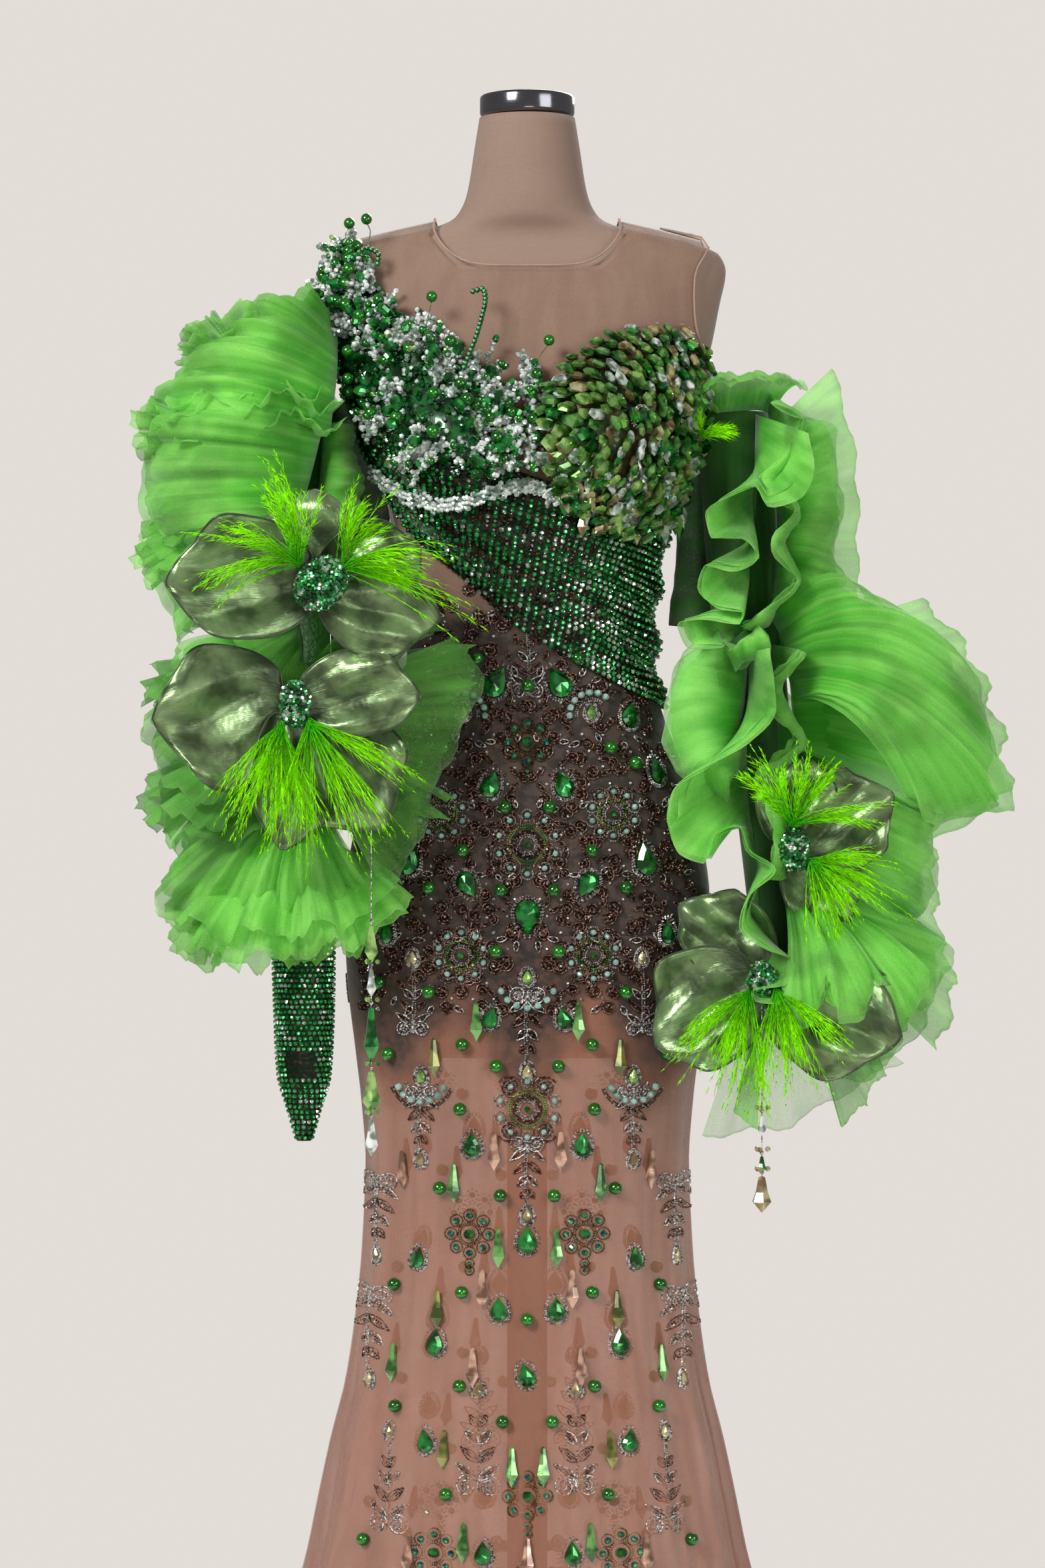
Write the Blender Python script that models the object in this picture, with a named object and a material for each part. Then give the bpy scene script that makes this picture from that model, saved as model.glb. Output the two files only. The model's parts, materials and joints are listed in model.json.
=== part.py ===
"""A beaded mermaid evening dress on a linen dress form with a stand.

Metres, +Z up. The dress faces -Y and the origin is the middle of the stand's underside, on the floor.
Tables hold millimetres, and every mesh is scaled to metres as it is made.
"""

import math

import bmesh
import bpy
import numpy as np
from mathutils import Vector
from mathutils.bvhtree import BVHTree

MM = 0.001
UP = np.array([0.0, 0.0, 1.0])
INWARD = np.array([0.0, 1.0, 0.0])

# Clearances and cloth thicknesses.
SEAM = 0.3
SEAT = 0.45
FORM_GAP = 2.6
CHEST_EASE = 1.8
MESH_WALL = 1.5
CHAIN_GAP = 3.1
CHAIN_WALL = 2.2
BEAD_GAP = 3.2
TULLE_WALL = 2.0
SATIN_WALL = 1.6
BINDING_RADIUS = 1.6

# Heights of the form and of the dress.
FORM_BOTTOM = 686.0
NECK_TOP = 1566.0
CAP_TOP = 1589.0
HIP_SEAM = 800.0
HEM = 8.0
UNDERARM = 1305.0
SHOULDER_POINT = 1450.5
ARMHOLE_DEPTH = 36.0

# The figure and, below the form, the skirt's own line.
# z, half_width, front_depth, back_depth, centre_y, roundness
FIGURE = (
    (8, 272, 205, 282, 0, 2.0),
    (60, 246, 186, 246, 0, 2.0),
    (120, 222, 165, 214, 0, 2.0),
    (203, 196, 141, 180, 0, 2.0),
    (268, 184, 127, 155, 0, 2.05),
    (320, 174, 116, 138, 0, 2.1),
    (376, 161, 106, 120, 0, 2.1),
    (437, 153, 100, 110, 0, 2.1),
    (500, 148, 96, 104, 0, 2.1),
    (580, 146, 94, 102, 0, 2.15),
    (640, 151, 96, 106, 0, 2.15),
    (686, 157, 98, 112, 0, 2.15),
    (760, 166, 102, 121, 0, 2.15),
    (830, 169, 104, 124, 0, 2.15),
    (900, 159, 102, 117, 0, 2.15),
    (960, 142, 97, 104, 0, 2.15),
    (1010, 123, 91, 92, 0, 2.15),
    (1060, 110, 87, 84, 0, 2.15),
    (1110, 111, 89, 85, 0, 2.15),
    (1160, 119, 93, 90, 0, 2.15),
    (1210, 131, 97, 97, 0, 2.2),
    (1260, 145, 99, 103, 0, 2.25),
    (1310, 158, 95, 107, 0, 2.3),
    (1345, 172, 88, 106, 0, 2.35),
    (1393, 182, 74, 92, 0, 2.35),
    (1425, 188, 59, 72, 0, 2.3),
    (1440, 182, 51, 60, 0, 2.2),
    (1451, 156, 47, 54, 0, 2.1),
    (1460, 112, 48, 54, -1, 2.0),
    (1466, 86, 52, 56, -2, 2.0),
    (1474, 69, 55, 56, -4, 2.0),
    (1490, 59, 54, 54, -8, 2.0),
    (1505, 55, 52, 52, -11, 2.0),
    (1536, 50, 49, 49, -17, 2.0),
    (1566, 45, 45, 45, -22, 2.0),
)
BUST_HALF_SPACING = 76.0
BUST_HEIGHT = 1262.0
BUST_OUT = 32.0
BUST_WIDTH = 50.0
BUST_TALL = 58.0

# The neckline: degrees from the middle of the panel, height in front, height behind.
NECKLINE = ((0, 1419, 1446), (17, 1420.5, 1447), (22, 1428, 1448.5), (26, 1437, 1450), (31, 1447, 1451.5),
            (36, 1452, 1453.5), (41, 1456, 1456.5), (50, 1460, 1460), (61, 1463.5, 1463.5), (75, 1465.5, 1465.5),
            (90, 1466.5, 1466.5))

# Rows of points that the form and the cloth on it share.
BODY_ROWS = (800, 860, 920, 980, 1037, 1090, 1143, 1200, 1255, 1305)
HIP_ROWS = (686, 743, 800)

# Skirt folds: z, depth
FOLDS = ((8, 24), (120, 19), (203, 15), (320, 10), (437, 6.5), (580, 3.2), (700, 1.2), (800, 0.4))
FOLDS_ROUND = 14

# Edges of the draped chain-mesh sash, in degrees round the body: angle, lower, upper
SASH = (
    (-180, 1262, 1398),
    (-168, 1246, 1382),
    (-150, 1184, 1314),
    (-120, 1134, 1266),
    (-90, 1080, 1226),
    (-60, 1044, 1206),
    (-30, 1018, 1196),
    (0, 1008, 1190),
    (45, 1022, 1200),
    (90, 1084, 1240),
    (135, 1176, 1316),
    (180, 1262, 1398),
)
SASH_FOLDS = 3
SASH_FOLD_DEPTH = 4.5
SASH_FOLDS_BELOW = 1204.0

# The bead spray over the right breast and shoulder: x, z, half_width, thickness
SPRAY = (
    (-160, 1437, 9, 12),
    (-163, 1414, 18, 22),
    (-148, 1378, 25, 20),
    (-129, 1338, 38, 20),
    (-96, 1304, 48, 22),
    (-60, 1278, 50, 22),
    (-33, 1260, 36, 18),
    (-14, 1248, 20, 12),
)
# The crystal cup over the left breast: centre and half sizes in degrees round the body and in height.
CUP_ANGLE = -50.0
CUP_HALF_ANGLE = 36.0
CUP_HEIGHT = 1268.0
CUP_HALF_HEIGHT = 92.0
CUP_THICKNESS = 20.0

# The sleeves' tubes: z, centre_x, centre_y, half_width, half_depth
RIGHT_TUBE = (
    (608, -208, -62, 7, 6),
    (640, -208, -62, 16, 13),
    (668, -208, -62, 24, 19),
    (720, -208, -62, 27, 26),
    (800, -209, -61, 29, 31),
    (900, -215, -56, 34, 37),
    (1000, -221, -46, 38, 42),
    (1100, -225, -34, 40, 45),
    (1200, -228, -22, 41, 48),
    (1300, -228, -12, 40, 50),
    (1368, -227.4, -8, 40, 52),
)
LEFT_TUBE = (
    (720, 240, -38, 24, 26),
    (800, 236, -36, 27, 29),
    (900, 228, -30, 30, 32),
    (1000, 216, -22, 32, 35),
    (1100, 207, -14, 34, 38),
    (1200, 200, -6, 36, 41),
    (1290, 194.6, 0, 37, 43),
)

# The right sleeve's tiers of tulle. Each goes round the tube, and its waves grow towards its edge.
# Rows: azimuth in degrees, reach, elevation in degrees, droop
RIGHT_TIERS = (
    dict(z=1325, waves=7, depth=8, phase=0.4,
         rows=((95, 56, 30, 10), (135, 66, 34, 10), (180, 76, 36, 8), (215, 80, 40, 6), (250, 80, 56, 4),
               (275, 76, 64, 2), (304, 62, 60, 0))),
    dict(z=1262, waves=7, depth=10, phase=1.3,
         rows=((95, 60, 6, 10), (135, 90, 10, 10), (180, 110, 12, 6), (215, 114, 12, 6), (250, 104, 16, 6),
               (280, 92, 22, 4), (306, 72, 20, 4))),
    dict(z=1190, waves=7, depth=10, phase=2.2,
         rows=((95, 60, -20, 12), (135, 88, -22, 12), (180, 108, -16, 12), (215, 114, -18, 12), (250, 104, -20, 14),
               (282, 92, -24, 14), (310, 76, -30, 14))),
    dict(z=1048, waves=7, depth=10, phase=0.9,
         rows=((95, 60, -6, 12), (135, 84, -6, 12), (180, 102, -8, 12), (225, 106, -10, 14), (270, 90, -14, 16),
               (305, 110, -2, 16), (334, 170, 8, 20))),
    dict(z=968, waves=7, depth=10, phase=2.9,
         rows=((95, 60, -20, 14), (135, 90, -22, 14), (180, 118, -22, 14), (225, 118, -26, 16), (270, 88, -34, 16),
               (305, 112, -22, 20), (334, 142, -8, 24))),
    dict(z=884, waves=7, depth=11, phase=1.9,
         rows=((95, 66, -46, 14), (135, 92, -48, 14), (180, 120, -46, 16), (225, 124, -50, 16), (270, 108, -60, 16),
               (305, 108, -44, 18), (328, 106, -24, 16))),
)
# The left sleeve's pages of tulle. Each stands out along the tube.
# azimuth in degrees; rows: share of the root, reach, elevation in degrees, droop
LEFT_PAGES = (
    dict(name="front_upper", azimuth=-112, top=1286, foot=1084, waves=3.5, depth=24, phase=0.5,
         rows=((0, 84, 16, 0), (0.5, 98, 2, 0), (1, 94, -4, 0))),
    dict(name="middle_upper", azimuth=-60, top=1282, foot=1092, waves=3.5, depth=23, phase=0.9,
         rows=((0, 76, 24, 0), (0.5, 90, 4, 0), (1, 88, -4, 0))),
    dict(name="front_lower", azimuth=-115, top=1066, foot=872, waves=3, depth=31, phase=2.6,
         rows=((0, 96, 8, 4), (0.35, 120, -2, 8), (0.75, 104, -8, 12), (1, 92, -10, 14))),
    dict(name="middle_lower", azimuth=-62, top=1074, foot=988, waves=1.5, depth=24, phase=2.0,
         rows=((0, 84, 8, 0), (0.5, 96, 0, 0), (1, 88, -6, 0))),
    dict(name="side_upper", azimuth=-12, top=1280, foot=1084, waves=4, depth=10, phase=0.0,
         rows=((0, 80, 44, 0), (0.3, 82, 18, 0), (0.7, 76, 0, 2), (1, 76, -6, 6))),
    dict(name="side_fan", azimuth=-8, top=1074, foot=985, waves=4, depth=12, phase=1.0,
         rows=((0, 140, 18, 0), (0.3, 182, 5, 0), (0.6, 208, -6, 2), (0.85, 222, -15, 4), (1, 205, -20, 4))),
    dict(name="side_lower", azimuth=-10, top=968, foot=800, waves=4, depth=11, phase=0.7,
         rows=((0, 164, -33, 4), (0.35, 166, -36, 6), (0.7, 176, -34, 6), (1, 166, -40, 10))),
    dict(name="foot_side", azimuth=-30, top=786, foot=728, waves=3, depth=10, phase=0.2,
         rows=((0, 110, -40, 4), (0.5, 124, -56, 4), (1, 118, -74, 2))),
    dict(name="foot_front", azimuth=-128, top=790, foot=730, waves=2, depth=11, phase=0.6,
         rows=((0, 70, -56, 0), (0.5, 96, -62, 0), (1, 124, -72, 0))),
    dict(name="back", azimuth=66, top=1270, foot=800, waves=5, depth=15, phase=0.3,
         rows=((0, 70, 30, 0), (0.3, 108, 6, 6), (0.7, 120, -16, 20), (1, 100, -40, 20))),
)

# Satin flowers. The stem runs out of the tube to the head, and petals lie round it in layers behind the head.
# Petal rows: direction in degrees seen from the front, length, half_width, layer, cup, lift, tilt
PAGE_START = 2.5
TIER_STARTS = (1.5, 0.9, 0.9, 0.9, 0.9, 1.7)
STEM_RADIUS = 7.0
STEM_SEAT = 0.7
FLOWERS = (
    dict(name="right_upper", head=(-184, -232, 1119), head_size=(19, 13, 24), lean=-42,
         petals=((176, 122, 50, 1, 14, 12, 0.10), (98, 74, 42, 4, 10, 4, 0.08), (12, 88, 42, 3, 12, 6, 0.08),
                 (-24, 100, 38, 0, 9, 16, 0.06)),
         tufts=((-19, 15, 128, 58, 118), (15, 12, 36, 56, 108))),
    dict(name="right_lower", head=(-208, -222, 1012), head_size=(11, 10, 18), lean=0,
         petals=((190, 112, 58, 2, 16, 14, 0.06), (10, 100, 36, 0, 14, 18, 0.08), (-52, 122, 50, 3, 10, 2, 0.06),
                 (-88, 118, 36, 1, 10, 8, 0.06)),
         tufts=((-11, -15, -104, 30, 104), (12, -14, -68, 48, 118))),
    dict(name="left_upper", head=(244, -140, 880), head_size=(11, 10, 17), lean=0,
         petals=((30, 92, 42, 1, 12, 12, 0.05), (84, 74, 32, 3, 8, 2, 0.06), (-44, 74, 36, 2, 12, 4, 0.06)),
         tufts=((-3, 20, 76, 62, 94), (12, -10, -28, 50, 82))),
    dict(name="left_lower", head=(214, -146, 762), head_size=(10, 9, 14), lean=0,
         petals=((206, 104, 50, 1, 14, 10, 0.08), (132, 92, 36, 3, 10, 4, 0.08), (-32, 122, 48, 2, 12, 6, 0.08)),
         tufts=((-10, -9, -118, 42, 98), (13, -8, -62, 38, 104))),
)
LAYER_STEP = 7.0
FIRST_LAYER = 9.0
TUFT_STRANDS = 6
TUFT_ROOT = 5.0

# Hanging strings of crystals: where along x the carrier's lower edge holds them, and each bead's depth, height
# and radius.
THREAD_RADIUS = 0.9
DROPS = (
    dict(name="right", x=-140, carrier="petal_right_lower_3",
         beads=((92, 36, 8), (132, 26, 6), (166, 52, 9), (224, 40, 11), (268, 34, 8))),
    dict(name="left", x=215, carrier="flower_core_left_lower",
         beads=((66, 20, 5), (108, 20, 5), (146, 16, 5), (164, 34, 11))),
)

# The form's stand.
POLE_RADIUS = 19.0
BASE_RADIUS = 165.0
BASE_HEIGHT = 14.0
BASE_EDGE = 4.0
HUB_RADIUS = 34.0
HUB_HEIGHT = 30.0

# Colours, roughness and metallic of each finish.
FINISHES = {
    "linen": ((0.47, 0.36, 0.29), 0.9, 0.0),
    "chrome": ((0.75, 0.75, 0.77), 0.12, 1.0),
    "stand_metal": ((0.16, 0.15, 0.17), 0.4, 0.8),
    "nude_mesh": ((0.58, 0.38, 0.28), 0.8, 0.0),
    "embroidery": ((0.30, 0.16, 0.11), 0.5, 0.2),
    "chain_mesh": ((0.03, 0.33, 0.10), 0.2, 0.3),
    "clear_beads": ((0.62, 0.72, 0.66), 0.1, 0.0),
    "green_crystal": ((0.20, 0.42, 0.16), 0.1, 0.0),
    "tulle": ((0.17, 0.62, 0.12), 0.8, 0.0),
    "satin": ((0.25, 0.38, 0.21), 0.35, 0.0),
    "feather": ((0.24, 0.85, 0.02), 0.7, 0.0),
}


def eased(rows, column, at):
    """Column of a table at each value of its first column, as a monotone cubic through the rows."""
    x = np.array([row[0] for row in rows], float)
    y = np.array([row[column] for row in rows], float)
    step = np.diff(x)
    slope = np.diff(y) / step
    tangent = np.zeros(len(x))
    same_way = slope[:-1] * slope[1:] > 0
    mean = np.zeros(len(slope) - 1)
    mean[same_way] = 2 * slope[:-1][same_way] * slope[1:][same_way] / (slope[:-1] + slope[1:])[same_way]
    tangent[1:-1] = mean
    tangent[0], tangent[-1] = slope[0], slope[-1]
    at = np.clip(np.asarray(at, float), x[0], x[-1])
    k = np.clip(np.searchsorted(x, at, side="right") - 1, 0, len(step) - 1)
    t = (at - x[k]) / step[k]
    return (
        y[k] * (2 * t**3 - 3 * t**2 + 1)
        + tangent[k] * step[k] * (t**3 - 2 * t**2 + t)
        + y[k + 1] * (3 * t**2 - 2 * t**3)
        + tangent[k + 1] * step[k] * (t**3 - t**2)
    )


def unit(vectors):
    """Vectors scaled to length 1."""
    vectors = np.asarray(vectors, float)
    return vectors / np.maximum(np.linalg.norm(vectors, axis=-1, keepdims=True), 1e-9)


def figure(degrees, z):
    """Points on the figure. Angle 0 is the left side at +X, and -90 the middle of the front."""
    angle, z = np.broadcast_arrays(np.radians(np.asarray(degrees, float)), np.asarray(z, float))
    width, front, back, middle, roundness = (eased(FIGURE, k, z) for k in range(1, 6))
    c, s = np.cos(angle), np.sin(angle)
    x = width * np.sign(c) * np.abs(c) ** (2 / roundness)
    depth = np.where(s < 0, front, back)
    y = middle + depth * np.sign(s) * np.abs(s) ** (2 / roundness)
    for side in (-1, 1):
        away = ((x - side * BUST_HALF_SPACING) / BUST_WIDTH) ** 2 + ((z - BUST_HEIGHT) / BUST_TALL) ** 2
        y = y - BUST_OUT * np.exp(-away) * np.clip(-s, 0, 1) ** 0.5
    return np.stack([x, y, z], axis=-1)


def skin(degrees, z, out):
    """Points of the figure moved out by a distance along its own normal."""
    step = 0.4
    degrees, z, out = np.broadcast_arrays(
        np.asarray(degrees, float), np.asarray(z, float), np.asarray(out, float)
    )
    round_it = figure(degrees + step, z) - figure(degrees - step, z)
    up_it = figure(degrees, z + step) - figure(degrees, z - step)
    return figure(degrees, z) + unit(np.cross(round_it, up_it)) * out[..., None]


def ease(z):
    """How far the cloth stands off the form: a little further over the chest and shoulders."""
    return FORM_GAP + CHEST_EASE * np.clip((np.asarray(z, float) - 1290) / 40, 0, 1)


def front_angle(x, z):
    """The angle at which the figure's front half passes x at height z."""
    share = np.clip(np.abs(x) / eased(FIGURE, 1, z), 0, 0.9995)
    from_side = np.degrees(np.arccos(share ** (eased(FIGURE, 5, z) / 2)))
    return np.where(np.asarray(x) > 0, -from_side, -180 + from_side)


def add_object(name, mesh, finish, smooth=True):
    """A named object with its own material."""
    colour, roughness, metallic = FINISHES[finish]
    material = bpy.data.materials.new(name + "_" + finish)
    material.use_nodes = True
    shader = material.node_tree.nodes["Principled BSDF"]
    shader.inputs["Base Color"].default_value = (*colour, 1)
    shader.inputs["Roughness"].default_value = roughness
    shader.inputs["Metallic"].default_value = metallic
    mesh.materials.append(material)
    if smooth:
        mesh.shade_smooth()
    obj = bpy.data.objects.new(name, mesh)
    bpy.context.scene.collection.objects.link(obj)
    return obj


def add_mesh(name, points, faces, finish, smooth=True):
    """An object from points in millimetres and faces, with its normals turned outwards."""
    shape = bmesh.new()
    verts = [shape.verts.new(np.asarray(p, float) * MM) for p in points]
    for face in faces:
        shape.faces.new([verts[k] for k in face])
    bmesh.ops.recalc_face_normals(shape, faces=shape.faces)
    mesh = bpy.data.meshes.new(name)
    shape.to_mesh(mesh)
    shape.free()
    if sum(p.area * p.center.dot(p.normal) for p in mesh.polygons) < 0:
        mesh.flip_normals()
    return add_object(name, mesh, finish, smooth)


def halves(quad, points):
    """A four-sided face as two triangles, cut along its shorter diagonal."""
    a, b, c, d = quad
    if np.linalg.norm(points[a] - points[c]) <= np.linalg.norm(points[b] - points[d]) + 1e-6:
        return [(a, b, c), (a, c, d)]
    return [(a, b, d), (b, c, d)]


def add_wall(name, inner, outer, finish, round_it=False):
    """A cloth wall between two grids of points, open at its edges or closed round its columns."""
    rows, cols = inner.shape[:2]
    points = np.concatenate([inner.reshape(-1, 3), outer.reshape(-1, 3)])
    other = rows * cols
    middle = points[:other] + points[other:]
    last = cols if round_it else cols - 1
    faces = []
    for i in range(rows - 1):
        for j in range(last):
            a, b = i * cols + j, i * cols + (j + 1) % cols
            for half in halves((a, b, b + cols, a + cols), middle):
                faces.append(half)
                faces.append(tuple(other + k for k in reversed(half)))
    for j in range(last):
        for row in (0, rows - 1):
            a, b = row * cols + j, row * cols + (j + 1) % cols
            faces.append((a, b, other + b, other + a))
    if not round_it:
        for i in range(rows - 1):
            for col in (0, cols - 1):
                a, b = i * cols + col, (i + 1) * cols + col
                faces.append((a, b, other + b, other + a))
    return add_mesh(name, points, faces, finish)


def add_sheet(name, middle, thickness, finish):
    """A wall of even thickness about a grid of points."""
    along = np.gradient(middle, axis=0)
    across = np.gradient(middle, axis=1)
    half = unit(np.cross(along, across)) * thickness / 2
    return add_wall(name, middle - half, middle + half, finish)


def add_stack(name, rings, finish, smooth=True):
    """A solid through closed rings, with a fan of faces over each end."""
    count, sides = rings.shape[:2]
    points = list(rings.reshape(-1, 3)) + [rings[0].mean(axis=0), rings[-1].mean(axis=0)]
    foot, top = count * sides, count * sides + 1
    faces = []
    for j in range(sides):
        k = (j + 1) % sides
        for i in range(count - 1):
            faces += halves((i * sides + j, i * sides + k, (i + 1) * sides + k, (i + 1) * sides + j), points)
        faces += [(j, k, foot), ((count - 1) * sides + j, (count - 1) * sides + k, top)]
    return add_mesh(name, points, faces, finish, smooth)


def turned(profile, sides, centre=(0, 0, 0)):
    """Rings of a shape turned about +Z. Profile rows: radius, z."""
    angles = np.arange(sides) * 2 * math.pi / sides
    rings = [[(r * math.cos(a), r * math.sin(a), z) for a in angles] for r, z in profile]
    return np.array(rings) + np.asarray(centre, float)


def add_binding(name, path, radius, finish, sides=4):
    """A closed tube of cloth along a closed path of points."""
    tangent = unit(np.roll(path, -1, axis=0) - np.roll(path, 1, axis=0))
    side = unit(np.cross(tangent, path - path.mean(axis=0)))
    rise = np.cross(side, tangent)
    angles = np.arange(sides) * 2 * math.pi / sides
    rings = (
        path[:, None]
        + radius * np.cos(angles)[None, :, None] * side[:, None]
        + radius * np.sin(angles)[None, :, None] * rise[:, None]
    )
    count = len(path)
    faces = [
        (i * sides + j, i * sides + (j + 1) % sides,
         (i + 1) % count * sides + (j + 1) % sides, (i + 1) % count * sides + j)
        for i in range(count) for j in range(sides)
    ]
    return add_mesh(name, rings.reshape(-1, 3), faces, finish)


def build_form():
    """The dress form: torso with neck, chrome neck cap, pole and weighted base."""
    heights = [*HIP_ROWS[:-1], *BODY_ROWS, 1350, 1395, 1425, 1440, 1451, 1460, 1467, 1478, 1505, NECK_TOP]
    angles = np.arange(24) * 15.0
    add_stack("form_torso", figure(angles[None, :], np.array(heights)[:, None]), "linen")
    neck = eased(FIGURE, 4, NECK_TOP)
    cap = ((44, NECK_TOP + SEAM), (46.5, NECK_TOP + 2.5), (46, CAP_TOP - 6), (42, CAP_TOP - 1), (34, CAP_TOP))
    add_stack("form_neck_cap", turned(cap, 16, (0, neck, 0)), "chrome")
    pole = ((POLE_RADIUS, HUB_HEIGHT + SEAM), (POLE_RADIUS, FORM_BOTTOM - SEAM))
    add_stack("form_pole", turned(pole, 16), "stand_metal")
    base = ((BASE_RADIUS - BASE_EDGE, 0), (BASE_RADIUS, BASE_EDGE), (BASE_RADIUS, BASE_HEIGHT - BASE_EDGE),
            (BASE_RADIUS - BASE_EDGE, BASE_HEIGHT), (HUB_RADIUS, BASE_HEIGHT + 3), (HUB_RADIUS - 4, HUB_HEIGHT))
    add_stack("form_base", turned(base, 24), "stand_metal")


def side_angle(z):
    """How far in front of or behind the side line a bodice panel's edge lies: a seam, or the armhole."""
    share = np.clip((z - UNDERARM) / (SHOULDER_POINT - UNDERARM), 0, 1)
    seam = 0.2 + 0.35 * (z > SHOULDER_POINT)
    return seam + ARMHOLE_DEPTH * np.sin(math.pi * share)


def bodice_grid(centre_angle, column, columns=12):
    """Angles and heights of a bodice panel's points. Rows run up from the hip seam to the neckline."""
    across = np.linspace(-1, 1, columns + 1)
    top = eased(NECKLINE, column, 90 * np.abs(across))
    for _ in range(3):
        top = eased(NECKLINE, column, np.abs(across) * (90 - side_angle(top)))
    shares = np.array([0.14, 0.3, 0.48, 0.68, 0.85, 1])[:, None]
    upper = BODY_ROWS[-1] + (top - BODY_ROWS[-1])[None, :] * shares
    heights = np.concatenate([np.array(BODY_ROWS, float)[:, None] + 0 * across, upper])
    return centre_angle + across[None, :] * (90 - side_angle(heights)), heights


def build_bodice():
    """Front and back of sheer mesh from neck to hip, the rolled neckline and the left armhole's rolled edge."""
    edges, armhole = {}, []
    lift = MESH_WALL + SEAM + BINDING_RADIUS
    for name, middle, column in (("front", -90.0, 1), ("back", 90.0, 2)):
        angles, heights = bodice_grid(middle, column)
        inner = skin(angles, heights, ease(heights))
        outer = skin(angles, heights, ease(heights) + MESH_WALL)
        add_wall("bodice_" + name, inner, outer, "nude_mesh")
        edges[name] = skin(angles, heights, ease(heights) + lift + 0.2)
        column, inward = (-1, -1.2) if name == "front" else (0, 1.2)
        rows = slice(len(BODY_ROWS), len(BODY_ROWS) + 5)
        z = heights[rows, column]
        armhole += [skin(angles[rows, column] + inward, z, ease(z) + lift + 0.5)]
    front, back = edges["front"], edges["back"]
    joined = [(front[-1, -1] + back[-1, 0]) / 2, *back[-1, 1:-1], (back[-1, -1] + front[-1, 0]) / 2, *front[-1, 1:-1]]
    add_binding("neck_binding", np.array(joined), BINDING_RADIUS, "nude_mesh")
    ends = [skin(0, 1302.0, ease(1302) + lift), skin(0, 1451.5, ease(1451) + lift + 0.5)]
    loop = np.array([ends[0], *armhole[0], ends[1], *armhole[1][::-1]])
    add_binding("armhole_binding_left", loop, BINDING_RADIUS, "nude_mesh")


def skirt_folds(degrees, z):
    """How far the skirt's soft vertical folds stand out, uneven in depth and spacing."""
    turn = np.radians(degrees)
    wave = np.cos(FOLDS_ROUND * turn + 0.7 * np.sin(3 * turn) + 0.4)
    uneven = 0.72 + 0.28 * np.sin(2 * turn + 1.1)
    return eased(FOLDS, 1, z) * (0.5 + 0.5 * wave) * uneven


def build_skirt(columns=24):
    """Front and back skirt panels from the hip seam to the flared hem."""
    heights = np.array([HEM, 105, 203, 320, 437, 580, *HIP_ROWS[:-1], HIP_SEAM - SEAM])
    for name, start in (("front", -180.0), ("back", 0.0)):
        angles = np.linspace(start + 0.2, start + 179.8, columns + 1)[None, :]
        out = FORM_GAP + skirt_folds(angles, heights[:, None])
        inner = skin(angles, heights[:, None], out)
        outer = skin(angles, heights[:, None], out + MESH_WALL)
        add_wall("skirt_" + name, inner, outer, "nude_mesh")


def build_sash():
    """The draped chain mesh that crosses from the right underarm to the left waist, front and back."""
    shares = np.linspace(0, 1, 9)[:, None]
    for name, start, columns in (("front", -180.0, 12), ("back", 0.0, 12)):
        angles = np.linspace(start + 0.2, start + 179.8, columns + 1)[None, :]
        low, high = eased(SASH, 1, angles), eased(SASH, 2, angles)
        heights = low + (high - low) * shares
        rest = ease(heights) + MESH_WALL + CHAIN_GAP
        ridge = np.maximum(0, np.sin(2 * math.pi * (SASH_FOLDS * shares + 0.15)))
        folds = SASH_FOLD_DEPTH * ridge * (heights < SASH_FOLDS_BELOW) * (shares < 0.95)
        inner = skin(angles, heights, rest)
        outer = skin(angles, heights, rest + CHAIN_WALL + folds)
        add_wall("sash_" + name, inner, outer, "chain_mesh")


def lumps(rows, cols, seed):
    """Uneven heights from 0 to 1 that stand for large beads packed side by side."""
    i, j = np.meshgrid(np.arange(rows), np.arange(cols), indexing="ij")
    return 0.5 + 0.5 * np.sin(12.9898 * i + 78.233 * j + seed)


def bead_seat(degrees, z, folds):
    """How far the beadwork stands off the form: over the sash and its folds, then down onto the bodice."""
    above = np.clip((z - eased(SASH, 2, degrees) - 8) / 26, 0, 1)
    return ease(z) + MESH_WALL + BEAD_GAP + (1 - above) * (CHAIN_GAP + CHAIN_WALL + folds)


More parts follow.
